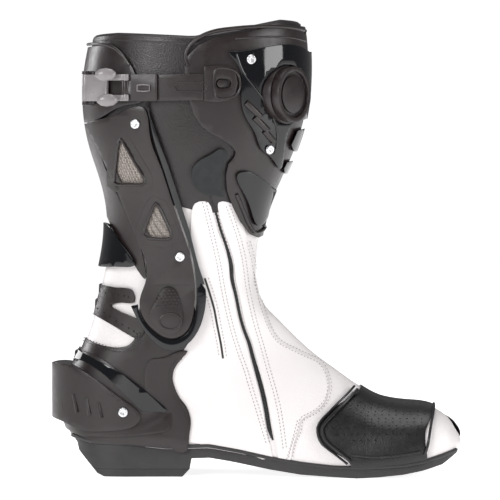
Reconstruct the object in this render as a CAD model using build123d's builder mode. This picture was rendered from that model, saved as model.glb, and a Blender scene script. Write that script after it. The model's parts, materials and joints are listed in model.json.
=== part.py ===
"""Motorcycle racing boot, left foot: moulded armour on a zipped leather boot."""

import os
from math import atan2, cos, degrees, sin, tau

from build123d import *

os.makedirs("parts", exist_ok=True)

# Frame: origin on the ground under the middle of the heel, +X to the toe, +Z up,
# -Y to the inner (zip) side. Millimetres.

# ---- driving dimensions --------------------------------------------------------------
SOLE_LENGTH = 290.0      # heel to toe along the outsole
BOOT_HEIGHT = 346.0      # ground to the highest point of the top line
BOOT_WIDTH = 98.0        # across the ball of the foot

LEATHER = 2.4            # upper leather
STIFFENER = 1.4          # hidden toe box and heel counter
LINING = 2.4             # padded lining
TRIM = 1.2               # stitched-on overlays
PLATE = 1.8              # moulded plates
ARMOUR = 2.6             # braces and gloss shields
GAP = 0.2                # between neighbouring layers
FIT = 0.05               # radial running clearance of the pins
SWEEP_GAP = 0.35         # between faces that slide past each other

HEEL_LIFT = 6.0          # replaceable tread under the heel
BOARD = 2.5              # insole board
FOOTBED = 4.0            # removable footbed
SHANK_WIDTH = 18.0
SHANK = 2.0

PIVOT_PIN_R = 5.0        # ankle pivot pin
PIVOT_BASE_R = 15.0
HUB_R = 31.0             # round foot of each brace
SCREW_HEAD_R = 3.6
SCREW_R = 1.6
SCREW_CLEAR = 0.5        # lift of a flat head over a curved plate
BUCKLE_PIN_R = 1.4
BARREL_R = 3.0
STRAP_HEIGHT = 20.0
DIAL_R = 21.0
DIAL_PIN_R = 4.0
CATCH_R = 2.8
SLIDER_LENGTH = 11.0

# The pattern numbers below are drawn for a 290 x 346 x 98 boot.
KX, KY, KZ = SOLE_LENGTH / 290.0, BOOT_WIDTH / 98.0, BOOT_HEIGHT / 346.0
REACH = 90.0 * max(KY, 1.0)

# ---- layers, as distances out from the leather's outer face ---------------------------
L_LEATHER = (-LEATHER, 0.0)
L_STIFF = (-LEATHER - GAP - STIFFENER, -LEATHER - GAP)
L_LINING = (L_STIFF[0] - GAP - LINING, L_STIFF[0] - GAP)
L_TRIM = (GAP, GAP + TRIM)
L_PLATE = (L_TRIM[1] + GAP, L_TRIM[1] + GAP + PLATE)
L_ARMOUR = (L_PLATE[1] + GAP, L_PLATE[1] + GAP + ARMOUR)

# ---- the last -------------------------------------------------------------------------
# Each station: back or lower point (x, z), front or upper point (x, z), half width,
# centre line y, where it is widest, fullness of its lower and upper half.
STATIONS = [
    ((-36.5, 352.0), (117.0, 364.0), 57.0, 0.0, 0.0, 2.15, 2.15),
    ((-38.0, 334.5), (119.0, 343.5), 57.0, 0.0, 0.0, 2.15, 2.15),
    ((-41.5, 316.0), (121.5, 323.5), 57.0, 0.0, 0.0, 2.15, 2.15),
    ((-44.0, 293.0), (121.5, 297.0), 57.0, 0.0, 0.0, 2.15, 2.15),
    ((-43.0, 271.5), (119.0, 274.0), 56.0, 0.0, 0.0, 2.15, 2.15),
    ((-38.0, 247.0), (111.5, 248.5), 54.0, 0.0, 0.0, 2.15, 2.15),
    ((-29.5, 220.5), (101.5, 225.5), 50.0, 0.0, 0.0, 2.15, 2.15),
    ((-25.5, 197.5), (93.0, 205.0), 46.0, 0.0, 0.0, 2.15, 2.15),
    ((-26.5, 174.5), (87.5, 182.0), 42.0, 0.0, 0.0, 2.15, 2.15),
    ((-31.0, 151.5), (85.5, 163.0), 39.0, 0.0, 0.0, 2.15, 2.15),
    ((-36.5, 128.5), (85.5, 146.0), 37.0, 0.0, 0.0, 2.15, 2.15),
    ((-42.5, 108.0), (90.0, 132.5), 36.0, 0.0, 0.0, 2.15, 2.1),
    ((-51.0, 88.0), (94.5, 125.5), 36.0, 0.0, -0.05, 2.15, 2.1),
    ((-60.0, 67.5), (99.0, 121.0), 35.5, 0.0, -0.10, 2.2, 2.1),
    ((-60.5, 46.0), (103.5, 116.5), 35.0, 0.0, -0.16, 2.4, 2.1),
    ((-52.0, 23.0), (109.0, 111.0), 34.5, 0.0, -0.24, 3.2, 2.1),
    ((-34.0, 14.5), (116.0, 104.0), 34.5, 0.0, -0.30, 4.5, 2.1),
    ((-3.5, 14.0), (123.5, 97.0), 35.0, 0.0, -0.34, 5.0, 2.1),
    ((35.0, 13.0), (132.5, 89.5), 36.0, 0.0, -0.35, 5.0, 2.1),
    ((77.0, 8.5), (145.0, 80.5), 38.5, 0.0, -0.35, 5.0, 2.1),
    ((119.0, 1.0), (161.0, 69.0), 43.5, 1.0, -0.35, 5.0, 2.1),
    ((153.5, -1.5), (180.0, 58.0), 47.0, 1.0, -0.35, 5.0, 2.2),
    ((184.0, -0.5), (199.5, 54.5), 48.0, -1.0, -0.35, 4.5, 2.3),
    ((207.0, 3.0), (214.5, 53.0), 45.0, -4.0, -0.30, 4.0, 2.4),
    ((226.0, 9.0), (230.0, 45.0), 37.0, -8.0, -0.2, 3.2, 2.4),
    ((235.0, 14.5), (238.5, 33.0), 25.0, -11.0, -0.1, 2.6, 2.4),
    ((239.5, 19.0), (241.2, 28.0), 14.0, -12.0, 0.0, 2.2, 2.2),
]
TURN = 16                # station where the leg and heel meet the forefoot
SECTION_POINTS = 12
TOE_MIN = 1.5            # smallest half height where the lining closes at the toe
TOE_SHARE = {23: 0.3, 24: 0.65, 25: 0.9, 26: 1.0}

SOLE_TOP = [(-57, 30), (-34, 25), (-11, 24.5), (19.5, 22), (50, 23), (73, 19), (96, 14),
            (119, 10), (142, 7.5), (165, 7), (195.5, 9), (211, 12), (226, 17), (240, 21.5)]
TREAD = [(237.5, 17.5), (226, 10), (211, 6), (195.5, 3), (176.5, 1), (161, 0), (142, 1),
         (119, 2.5), (96, 6), (65.5, 12), (50, 14.5), (36.5, 14), (35, HEEL_LIFT)]
TREAD_HEEL = [(-38, HEEL_LIFT), (-41.5, 10), (-49.5, 19), (-51, 25)]
HEEL_FOOT = [(35, HEEL_LIFT), (29.5, 0), (-29.5, 0), (-35, 2.5), (-38, HEEL_LIFT)]
SOLE_PLAN = [(-53, 0), (-48, -19), (-32, -31), (0, -33.5), (40, -34), (80, -37), (119, -43),
             (160, -47), (190, -49.5), (212, -47), (229, -36), (239, -22), (242.5, -10),
             (239.5, 3), (230, 17), (212, 34), (190, 45), (160, 49), (119, 46), (80, 41),
             (40, 37), (0, 34), (-32, 31), (-48, 19)]


def spot(x, z):
    """Pattern point (x, z) at this boot's size."""
    return (x * KX, z * KZ)


def rise(points, lift):
    """The line moved up by lift."""
    return [(x, z + lift) for x, z in points]


def power(value, fullness):
    """Superellipse share with the sign kept."""
    return abs(value) ** (2 / fullness) * (1 if value >= 0 else -1)


def section(index, grow):
    """One cross-section of the last, grown all round."""
    back, front, half, centre, widest, low, high = STATIONS[index]
    (bx, bz), (fx, fz) = spot(*back), spot(*front)
    start, end = Vector(bx, 0, bz), Vector(fx, 0, fz)
    along = (end - start).normalized()
    length = (end - start).length / 2
    middle = (start + end) / 2 + Vector(TOE_SHARE.get(index, 0) * grow, centre * KY, 0)
    crest = widest * length
    points = []
    for k in range(SECTION_POINTS):
        turn = tau * k / SECTION_POINTS
        c, s = cos(turn), sin(turn)
        span = max((length - crest if c >= 0 else length + crest) + grow, TOE_MIN)
        points.append((crest + power(c, high if c >= 0 else low) * span,
                       power(s, high if c >= 0 else low) * (half * KY + grow)))
    plane = Plane(origin=middle, x_dir=along, z_dir=along.cross(Vector(0, 1, 0)))
    with BuildSketch(plane) as cut:
        with BuildLine():
            Spline(*points, periodic=True)
        make_face()
    return cut.sketch.face()


FORMS = {}


def last(grow):
    """The foot and leg form, grown by a distance."""
    key = round(grow, 3)
    if key not in FORMS:
        with BuildPart() as form:
            loft([section(i, grow) for i in range(TURN + 1)])
            loft([section(i, grow) for i in range(TURN, len(STATIONS))])
        FORMS[key] = form.part
    return FORMS[key]


SHELLS = {}


def layer(limits):
    """Everything between two distances from the leather's face."""
    if limits not in SHELLS:
        with BuildPart() as shell:
            add(last(limits[1]))
            add(last(limits[0]), mode=Mode.SUBTRACT)
        SHELLS[limits] = shell.part
    return SHELLS[limits]


def side_face(points, smooth=True):
    """Face in the XZ plane from a pattern outline."""
    with BuildSketch(Plane.XZ) as drawn:
        with BuildLine():
            if smooth:
                Spline(*[spot(x, z) for x, z in points], periodic=True)
            else:
                Polyline(*[spot(x, z) for x, z in points], close=True)
        make_face()
    return drawn.sketch


def prism(points, smooth=True, inner=REACH, outer=REACH):
    """Outline carried through the boot: inner mm to -Y and outer mm to +Y."""
    with BuildPart() as block:
        if inner:
            extrude(side_face(points, smooth), amount=inner)
        if outer:
            extrude(side_face(points, smooth), amount=-outer)
    return block.part


def piece(limits, *blocks, less=()):
    """Part of a layer inside the blocks."""
    with BuildPart() as cut:
        for block in blocks:
            add(block)
        add(layer(limits), mode=Mode.INTERSECT)
        for block in less:
            add(block, mode=Mode.SUBTRACT)
    return cut


def both_sides(part):
    """The part and its mirror image across the boot."""
    with BuildPart() as pair:
        add(part)
        add(mirror(part, about=Plane.XZ, mode=Mode.PRIVATE))
    return pair


def seat(x, z, grow, side=-1):
    """Point on the grown last seen from one side, and the outward normal there."""
    px, pz = spot(x, z)
    hits = last(grow).find_intersection_points(Axis((px, 0, pz), (0, side, 0)))
    point, normal = max(hits, key=lambda hit: hit[0].Y * side)
    if normal.Y * side < 0:
        normal = normal * -1
    return point, normal.normalized()


def flat_normal(x, z, grow, side=-1):
    """Seat with its normal laid level."""
    point, normal = seat(x, z, grow, side)
    return point, Vector(normal.X, normal.Y, 0).normalized()


def finish(name, part):
    """Label and write one node."""
    part.label = name
    export_step(part, f"parts/{name}.step")


# ---- shared blocks --------------------------------------------------------------------
GROUND = prism(rise(SOLE_TOP, GAP / KZ) + [(250, 22), (250, -40), (-100, -40), (-100, 30.2)],
               smooth=False)
FOOT_TOP = [(-60, 126), (-20, 137), (21, 151), (60, 151), (105, 147)]
LEG_LOW = [(-60, 172), (-20, 166), (21, 165), (60, 169), (110, 181)]
RIM = [(-60, 333), (-18.5, 335), (38.5, 332), (73, 338), (103.5, 345), (140, 343.5)]


def above_sole(lift):
    """The foot's share of the boot, from a height above the sole to the ankle."""
    return prism(FOOT_TOP + [(270, 140), (270, 22 + lift)] + rise(SOLE_TOP, lift)[::-1]
                 + [(-90, 30 + lift)], smooth=False)


LEG_BLOCK = prism(LEG_LOW + [(150, 181), (150, 345)] + RIM[::-1] + [(-80, 333), (-80, 172)],
                  smooth=False)
ANKLE_BLOCK = prism(rise(FOOT_TOP, 0.4) + rise(LEG_LOW, -0.4)[::-1], smooth=False)

# ---- outsole --------------------------------------------------------------------------
with BuildPart() as sole_block:
    with BuildSketch():
        with BuildLine():
            Spline(*[(x * KX, y * KY) for x, y in SOLE_PLAN], periodic=True)
        make_face()
    extrude(amount=60 * KZ)

with BuildPart() as outsole:
    add(prism(SOLE_TOP + TREAD + TREAD_HEEL, smooth=False))
    add(sole_block.part, mode=Mode.INTERSECT)
    with BuildSketch(Plane.XZ.offset(-SHANK_WIDTH / 2 - 0.2)):
        with BuildLine():
            Polyline(*[spot(x, z) for x, z in [(-20, 25.2), (95, 25.2), (95, 12.2), (45, 19.0),
                                               (-20, 21.5)]], close=True)
        make_face()
    extrude(amount=SHANK_WIDTH + 0.4, mode=Mode.SUBTRACT)
finish("outsole", outsole.part)

with BuildPart() as heel_lift:
    add(prism(HEEL_FOOT, smooth=False))
    add(sole_block.part, mode=Mode.INTERSECT)
finish("heel_lift", heel_lift.part)

with BuildPart() as shank:
    with BuildSketch(Plane.XZ.offset(-SHANK_WIDTH / 2)):
        with BuildLine():
            Polyline(*[spot(x, z) for x, z in [(-18, 22.6), (18, 20.8), (50, 20.8), (90, 14.0),
                                               (90, 12.0), (48, 18.8), (-18, 20.6 + SHANK - 2)]],
                     close=True)
        make_face()
    extrude(amount=SHANK_WIDTH)
    add(prism(rise(SOLE_TOP, -0.4) + [(250, -30), (-100, -30), (-100, 29)], smooth=False),
        mode=Mode.INTERSECT)
    add(outsole.part, mode=Mode.SUBTRACT)
finish("shank", shank.part)

# ---- inside the foot ------------------------------------------------------------------
inside = last(L_STIFF[0] - GAP)
board_band = prism(rise(SOLE_TOP, GAP) + rise(SOLE_TOP, GAP + BOARD)[::-1], smooth=False)
with BuildPart() as insole_board:
    add(board_band)
    add(inside, mode=Mode.INTERSECT)
finish("insole_board", insole_board.part)

BED_LOW = 2 * GAP + BOARD
bed_band = prism(rise(SOLE_TOP, BED_LOW) + rise(SOLE_TOP, BED_LOW + FOOTBED)[::-1], smooth=False)
with BuildPart() as footbed:
    add(bed_band)
    add(last(L_LINING[0] - GAP), mode=Mode.INTERSECT)
finish("footbed", footbed.part)

foot_liner = piece(L_LINING, above_sole(BED_LOW))
finish("foot_liner", foot_liner.part)
foot_upper = piece(L_LEATHER, above_sole(GAP))
finish("foot_upper", foot_upper.part)
toe_box = piece(L_STIFF, prism([(182, 12), (176, 80), (260, 80), (260, 27), (240, 25), (226, 21),
                                (211, 16), (195.5, 13)], smooth=False))
finish("toe_box", toe_box.part)
heel_counter = piece(L_STIFF, prism([(-80, 34), (-80, 78), (-40, 82), (15, 46), (15, 27),
                                     (-34, 29)], smooth=False))
finish("heel_counter", heel_counter.part)
ankle_gusset = piece((L_LINING[0], 0.0), ANKLE_BLOCK)
finish("ankle_gusset", ankle_gusset.part)

# ---- overlays of the foot -------------------------------------------------------------
TOE_PAD = [(168, 76), (161, 62), (149.5, 56), (137, 46.5), (131, 36.5), (134.5, 25), (145.5, 18.5),
           (156, 11), (161, 0), (186, -6), (209.5, 0), (214, 14), (212.5, 29), (213.5, 38),
           (218, 46), (224, 58), (222, 74), (195, 80)]
toe_pad = piece(L_TRIM, prism(TOE_PAD, outer=16 * KY), less=(GROUND,))
finish("toe_pad", toe_pad.part)

ANKLE_FRAME = [(-52.5, 106.5), (-38, 101), (-22.5, 98), (-11, 100), (-5.5, 107), (-4, 118.5),
               (-1, 132.5), (8, 143), (18, 147), (30, 142), (38.5, 130), (37.5, 108), (27, 90.5),
               (22, 79), (22, 69.5), (28, 61), (33.5, 54.5), (35.5, 44.5), (34, 33), (32, 16),
               (0, 8), (-34, 8), (-66, 16), (-76, 56), (-68, 92)]
ankle_frame = piece(L_TRIM, prism(ANKLE_FRAME), less=(GROUND,))
finish("ankle_frame", ankle_frame.part)

ACHILLES = [(-46, 144.5), (-28, 142.5), (-14, 142.5), (-8, 141), (-5, 134), (-10, 131), (-22, 132),
            (-24, 128), (-13, 121), (-7.5, 114), (-7, 108), (-14, 109), (-26.5, 114), (-46, 125)]
achilles_flex = piece(L_TRIM, prism(ACHILLES), less=(ankle_frame.part,))
finish("achilles_flex", achilles_flex.part)

HEEL_CUP = [(-66, 90), (-49.5, 94.5), (-34, 90.5), (-11, 73.5), (12, 57), (21, 50), (22, 44),
            (20, 37.5), (10, 33.5), (-8, 31.5), (-34, 30.5), (-58, 34), (-72, 44), (-74, 70)]
heel_cup = piece(L_PLATE, prism(HEEL_CUP), less=(GROUND,))
finish("heel_cup", heel_cup.part)

HEEL_GLOSS = [(-72, 93), (-56, 93.5), (-44, 93.5), (-33, 89.5), (-11, 73), (12, 56.5), (18, 50.5),
              (12, 50), (2, 54), (-14, 64), (-33, 78), (-50, 88), (-72, 90)]
heel_gloss = piece(L_ARMOUR, prism(HEEL_GLOSS))
finish("heel_gloss", heel_gloss.part)

HEEL_GUARD = [(-78, 82), (-60, 85), (-52, 83), (-34, 72.5), (-16, 59.5), (-5, 51.5), (-2, 46.5),
              (-5, 40.5), (-15, 36.5), (-34, 34.5), (-49.5, 36), (-62, 41), (-78, 47), (-84, 64)]
GUARD_SCREW = (-15, 49.5)
with BuildPart() as heel_guard:
    add(prism(HEEL_GUARD))
    with BuildSketch(Plane.XY) as egg:
        Ellipse(71.0 * KX, 35 * KY + L_ARMOUR[0] + 2.6)
    extrude(amount=100 * KZ, mode=Mode.INTERSECT)
    add(last(L_ARMOUR[0]), mode=Mode.SUBTRACT)
    for side in (-1, 1):
        at, _ = seat(*GUARD_SCREW, L_PLATE[1], side)
        with Locations(Plane(origin=at, z_dir=(0, side, 0))):
            Cylinder(SCREW_R + 0.1, 40, mode=Mode.SUBTRACT)
finish("heel_guard", heel_guard.part)


def screw(at, normal, sink, lift, head=SCREW_HEAD_R, shank_r=SCREW_R):
    """Cross-head screw: shank sunk below the seat, domed head lifted above it."""
    with BuildPart() as made:
        with BuildSketch(Plane(origin=at - normal * sink, z_dir=normal)):
            Circle(shank_r)
        extrude(amount=sink + lift + 0.2)
        with BuildSketch(Plane(origin=at + normal * lift, z_dir=normal)):
            Circle(head)
        extrude(amount=1.8)
        chamfer(made.edges().filter_by(GeomType.CIRCLE).sort_by(Axis(at, normal))[-1], 0.6)
        with BuildSketch(Plane(origin=at + normal * (lift + 1.8), z_dir=normal)):
            Rectangle(head * 1.1, 0.9)
            Rectangle(0.9, head * 1.1)
        extrude(amount=-1.0, mode=Mode.SUBTRACT)
    return made.part


guard_screws = []
for side in (-1, 1):
    at, _ = seat(*GUARD_SCREW, L_PLATE[1], side)
    depth = (35 * KY + L_ARMOUR[0] + 2.6) * (1 - (at.X / (71.0 * KX)) ** 2) ** 0.5 - at.Y * side
    guard_screws.append(screw(at, Vector(0, side, 0), -GAP, depth + 2 * SCREW_CLEAR))
with BuildPart() as heel_guard_screws:
    for item in guard_screws:
        add(item)
finish("heel_guard_screws", heel_guard_screws.part)

# Slider on the outer side of the toe, with its two screws.
TOE_SLIDER = [(192, 18), (204, 12), (220, 13), (232, 17), (240, 23), (242, 30), (238, 38),
              (226, 44), (206, 44), (194, 34)]
slider_block = prism(TOE_SLIDER, inner=0)
toe_slider_solid = piece((L_TRIM[1] + GAP, L_ARMOUR[1]), slider_block, less=(GROUND,))
SLIDER_SCREWS = [(203, 28), (221, 30)]
toe_screws = []
with BuildPart() as toe_slider:
    add(toe_slider_solid.part)
    for x, z in SLIDER_SCREWS:
        at, normal = seat(x, z, L_TRIM[1] + GAP, 1)
        with Locations(Plane(origin=at, z_dir=normal)):
            Cylinder(SCREW_R + 0.1, 30, mode=Mode.SUBTRACT)
        with Locations(Plane(origin=at + normal * 6.2, z_dir=normal)):
            Cylinder(SCREW_HEAD_R + 0.3, 8, mode=Mode.SUBTRACT)
        toe_screws.append(screw(at, normal, 0, 2.4))
finish("toe_slider", toe_slider.part)
with BuildPart() as toe_slider_screws:
    for item in toe_screws:
        add(item)
finish("toe_slider_screws", toe_slider_screws.part)

# ---- ankle pivots ---------------------------------------------------------------------
PIVOT = (21, 126)
ankle, _ = seat(*PIVOT, 0.0)
BASE_FACE = -ankle.Y + L_TRIM[1] + 1.7          # outer face of the fixed pivot bases
HUB_FACE = BASE_FACE + SWEEP_GAP                # inner face of the braces' round feet
HUB_TOP = HUB_FACE + ARMOUR + 0.4


def hub_disc(radius, near, far):
    """Disc on the ankle axis, on the inner side, between two distances from the middle."""
    with BuildPart() as disc:
        with BuildSketch(Plane.XZ.offset(near)):
            with Locations(spot(*PIVOT)):
                Circle(radius)
        extrude(amount=far - near)
    return disc.part


with BuildPart() as pivot_base:
    add(hub_disc(PIVOT_BASE_R, 25 * KY, BASE_FACE))
    add(last(L_TRIM[1] + GAP), mode=Mode.SUBTRACT)
pivot_bases = both_sides(pivot_base.part)
finish("pivot_bases", pivot_bases.part)
pivot_pins = both_sides(hub_disc(PIVOT_PIN_R, BASE_FACE, HUB_TOP - 0.3))
finish("pivot_pins", pivot_pins.part)

# ---- braces ---------------------------------------------------------------------------
BRACE = [(-44, 264), (-34, 247), (-22.5, 222), (-12.5, 199.5), (-3.5, 178), (2.5, 161.5),
         (2.5, 150), (-2.5, 133), (0.5, 121), (10.5, 110), (21, 105.5), (31.5, 109.5),
         (38, 124.5), (38.5, 150), (35, 170.5), (29.5, 187.5), (21, 212.5), (13.5, 235.5),
         (5.5, 260), (0, 279.5), (-12.5, 277.5), (-29, 271)]
RAIL_OUTER = [(3, 283), (9.5, 262.5), (19.5, 235.5), (27, 212.5), (36.5, 182), (43, 157),
              (47, 144), (47, 128.5), (42.5, 113), (33.5, 101), (21, 96.5), (8, 103.5),
              (-3.5, 118.5), (-9, 130)]
RAIL_INNER = [(2.4, 281.5), (5.6, 271), (7.6, 260.4), (14.9, 236.5), (22.3, 213), (30.8, 188),
              (36.4, 171), (39.9, 150), (39.3, 124), (32.4, 108.4), (21, 104.0), (9.6, 109),
              (-0.8, 120.6), (-3.6, 131)]
WIN_TOP = [(-14.5, 255), (-10.5, 251), (4.5, 229.5), (4, 223.5), (-2.5, 221.3), (-15, 222),
           (-18, 226.5), (-17, 251)]
WIN_LOW = [(10.5, 209), (15.5, 204.5), (23.5, 186.5), (20.5, 180.8), (6, 183), (2.5, 187),
           (7, 205.5)]
MESH_TOP = [(-20, 219), (-21, 257), (-10, 257), (8, 230), (8, 219)]
MESH_LOW = [(1, 181), (5, 211), (17, 209), (27, 187), (24, 178), (5, 180)]
PAD = [(19.5, 144), (24.5, 142), (28.5, 133), (30, 121), (27, 111.5), (20.5, 108.5), (12, 113),
       (5, 123), (9.5, 133), (14, 141)]
BRACE_SCREWS = [(-4, 267), (28, 167.5)]

brace_prism = prism(BRACE, outer=0)
windows = [prism(WIN_TOP, outer=0), prism(WIN_LOW, outer=0)]
above_hub = prism([(-60, 146), (80, 146), (80, 300), (-60, 300)], smooth=False, outer=0)
hub_slab = hub_disc(HUB_R, HUB_FACE, HUB_TOP)


def armour_with_hub(block):
    """Brace part: on the leg's curve above, flat and square to the axis at the ankle."""
    with BuildPart() as foot:
        add(block)
        add(hub_slab, mode=Mode.INTERSECT)
    with BuildPart() as shaped:
        add(block)
        add(above_hub, mode=Mode.INTERSECT)
        add(layer(L_ARMOUR), mode=Mode.INTERSECT)
        add(foot.part)
        add(hub_disc(2 * HUB_R, 0, HUB_FACE), mode=Mode.SUBTRACT)
    return shaped


screw_seats = [seat(x, z, L_PLATE[1]) for x, z in BRACE_SCREWS]
brace_half = armour_with_hub(brace_prism)
with BuildPart() as brace_medial:
    add(brace_half.part)
    for window in windows:
        add(window, mode=Mode.SUBTRACT)
    add(hub_disc(PIVOT_PIN_R + FIT, 0, REACH), mode=Mode.SUBTRACT)
    for at, normal in screw_seats:
        with Locations(Plane(origin=at, z_dir=normal)):
            Cylinder(SCREW_R + 0.1, 12, mode=Mode.SUBTRACT)
finish("brace_medial", brace_medial.part)
brace_lateral = mirror(brace_medial.part, about=Plane.XZ)
finish("brace_lateral", brace_lateral)

with BuildPart() as rail_block:
    with BuildSketch(Plane.XZ):
        with BuildLine():
            outer_edge = Spline(*[spot(x, z) for x, z in RAIL_OUTER])
            inner_edge = Spline(*[spot(x, z) for x, z in RAIL_INNER])
            Line(outer_edge @ 0, inner_edge @ 0)
            Line(outer_edge @ 1, inner_edge @ 1)
        make_face()
    extrude(amount=REACH)
rail_medial = armour_with_hub(rail_block.part)
finish("rail_medial", rail_medial.part)
finish("rail_lateral", mirror(rail_medial.part, about=Plane.XZ))

with BuildPart() as ankle_pad:
    add(prism(PAD, outer=0))
    add(hub_disc(2 * HUB_R, HUB_TOP, HUB_TOP + 1.8), mode=Mode.INTERSECT)
ankle_pads = both_sides(ankle_pad.part)
finish("ankle_pads", ankle_pads.part)

with BuildPart() as brace_screw_pair:
    for at, normal in screw_seats:
        add(screw(at, normal, 0, ARMOUR + SCREW_CLEAR))
brace_screws = both_sides(brace_screw_pair.part)
finish("brace_screws", brace_screws.part)

mesh_half = piece((L_PLATE[0], L_PLATE[1] - 0.2),
                  prism(MESH_TOP, smooth=False, outer=0), prism(MESH_LOW, smooth=False, outer=0))
vent_mesh = both_sides(mesh_half.part)
finish("vent_mesh", vent_mesh.part)

# ---- leg ------------------------------------------------------------------------------
LEG_SEAM = [(-60, 206), (0, 208), (40, 213), (60, 212.5), (75, 206), (130, 200)]
lower_leg_block = prism(LEG_LOW + LEG_SEAM[::-1], smooth=False)
upper_leg_block = prism(rise(LEG_SEAM, GAP) + [(150, 345)] + RIM[::-1] + [(-80, 333)],
                        smooth=False)
leg_lower = piece(L_LEATHER, lower_leg_block)
finish("leg_lower", leg_lower.part)
leg_shell = piece(L_LEATHER, upper_leg_block)
finish("leg_shell", leg_shell.part)
leg_liner = piece(L_LINING, LEG_BLOCK)
finish("leg_liner", leg_liner.part)

collar_block = prism([(-60, 333), (-18.5, 335), (28, 332.7), (29, 306), (2, 307), (-12, 313),
                      (-60, 313)], smooth=False, outer=0)
collar_far = prism([(-60, 333), (-18.5, 335), (38.5, 332), (73, 338), (82, 340), (82, 313),
                    (-60, 313)], smooth=False, inner=0)
collar = piece(L_TRIM, collar_block, collar_far)
finish("collar", collar.part)

CUFF = [(-56, 325), (-40, 325.5), (-26.5, 325.5), (-18.5, 323), (-12.5, 317), (-8, 310),
        (-3.5, 300.5), (0.5, 284), (-11, 281), (-24, 276), (-35, 270), (-45, 268), (-58, 268),
        (-62, 300)]
calf_cuff = piece(L_PLATE, prism(CUFF))
finish("calf_cuff", calf_cuff.part)
REAR_GUARD = [(-60, 266), (-42, 265), (-33, 246), (-28, 232), (-11, 197.5), (0.5, 165),
              (1.5, 150), (-5, 158), (-25, 190), (-36, 212), (-48, 240)]
rear_guard = piece(L_PLATE, prism(REAR_GUARD))
finish("rear_guard", rear_guard.part)
REAR_GLOSS = [(-40, 190), (-27, 190), (-19, 180), (-7, 160), (-20, 159), (-42, 161), (-48, 175)]
rear_gloss = piece(L_ARMOUR, prism(REAR_GLOSS))
finish("rear_gloss", rear_gloss.part)

PATCH = [(38.5, 235), (43, 239.5), (53, 245), (60, 248), (64, 245), (61.5, 238), (60, 229),
         (60, 219), (61, 212), (56, 213), (50, 213.5), (43, 216)]
PATCH_LIFT = (L_PLATE[1] + GAP, L_PLATE[1] + GAP + TRIM)
stretch_patch = piece(PATCH_LIFT, prism(PATCH, outer=0))
finish("stretch_patch", stretch_patch.part)

def ribbon(path, half_width):
    """Closed strip outline of even width along a pattern path."""
    left, right = [], []
    for i, (x, z) in enumerate(path):
        (ax, az), (bx, bz) = path[max(i - 1, 0)], path[min(i + 1, len(path) - 1)]
        run = ((bx - ax) ** 2 + (bz - az) ** 2) ** 0.5
        nx, nz = (az - bz) / run * half_width, (bx - ax) / run * half_width
        left.append((x + nx, z + nz))
        right.append((x - nx, z - nz))
    return left + right[::-1]


zip_upper = piece(L_TRIM, prism(ribbon([(51, 226), (53.5, 206), (61, 181), (65, 170.5)], 2.2),
                                smooth=False, outer=0))
finish("zip_upper", zip_upper.part)
zip_lower = piece(L_TRIM, prism(ribbon([(68.5, 148.5), (70, 140), (75, 117), (81.5, 98), (87, 79),
                                        (93, 52), (97.5, 33)], 2.2), smooth=False, outer=0),
                  less=(GROUND,))
finish("zip_lower", zip_lower.part)

# ---- shin flap ------------------------------------------------------------------------
FLAP = [(31.5, 306), (34, 317.5), (42.5, 326), (54, 331), (67.5, 333.5), (88.5, 338),
        (107.5, 341), (150, 341), (150, 196), (104, 185), (96, 183.5), (87, 180.5), (80.5, 183.5),
        (73, 193.5), (67.5, 205), (63.5, 216.5), (62.5, 228), (64.5, 237), (69, 242), (70, 246),
        (67, 250), (61.5, 254), (51.5, 260), (45, 264.5), (38.5, 274), (34.5, 287)]
FLAP_FAR = [(88, 338), (107.5, 341), (150, 341), (150, 196), (104, 185), (96, 184), (88, 186)]
FLAP_GLOSS = [(66, 321), (80.5, 322), (110, 326.5), (122, 324), (134, 312), (136, 290),
              (130, 274), (114, 267), (107.5, 251), (103, 233), (97, 241), (90, 247),
              (84.5, 260), (78.5, 270), (74.5, 283), (74.5, 300.5), (70, 313)]
FLAP_GLOSS_FAR = [(100, 322), (140, 322), (140, 273), (104, 273), (99, 285)]
FLAP_WINDOW = [(73.5, 230.5), (80, 231), (92, 224), (98, 217.5), (96.5, 206), (92, 192), (88.5, 189.5),
               (82, 200), (76.5, 214)]
DIAL = (104.5, 289)
FLAP_SCREWS = [(80.5, 315), (93.5, 248.5)]

flap_blocks = (prism(FLAP, smooth=False, outer=0), prism(FLAP_FAR, smooth=False, inner=0))
dial_at, dial_level = flat_normal(*DIAL, 0.0)
dial_out = Vector(dial_level.X + 0.14, dial_level.Y + 0.16, 0).normalized()


def dial_disc(radius, near, far):
    """Disc on the dial's axis between two heights above the leather."""
    with BuildPart() as disc:
        with BuildSketch(Plane(origin=dial_at + dial_out * near, z_dir=dial_out)):
            Circle(radius)
        extrude(amount=far - near)
    return disc.part


dial_room = dial_disc(DIAL_R + 1.4, -40, 40)
flap_leather = piece(L_TRIM, *flap_blocks, less=(dial_room,))
finish("flap_leather", flap_leather.part)
flap_base = piece(L_PLATE, *flap_blocks, less=(dial_room,))
CATCH = (58.5, 297)
flap_screw_seats = [seat(x, z, L_PLATE[1]) for x, z in FLAP_SCREWS]
finish("flap_base", flap_base.part)
flap_gloss = piece(L_ARMOUR, prism(FLAP_GLOSS, outer=0),
                   prism(FLAP_GLOSS_FAR, smooth=False, inner=0), less=(dial_room,))
with BuildPart() as flap_gloss_drilled:
    add(flap_gloss.part)
    for at, normal in flap_screw_seats:
        with Locations(Plane(origin=at, z_dir=normal)):
            Cylinder(SCREW_R + 0.1, 12, mode=Mode.SUBTRACT)
finish("flap_gloss", flap_gloss_drilled.part)
flap_window = piece(L_ARMOUR, prism(FLAP_WINDOW, outer=0))
finish("flap_window", flap_window.part)
with BuildPart() as flap_screws:
    for at, normal in flap_screw_seats:
        add(screw(at, normal, 0, ARMOUR + SCREW_CLEAR))
finish("flap_screws", flap_screws.part)

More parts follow.
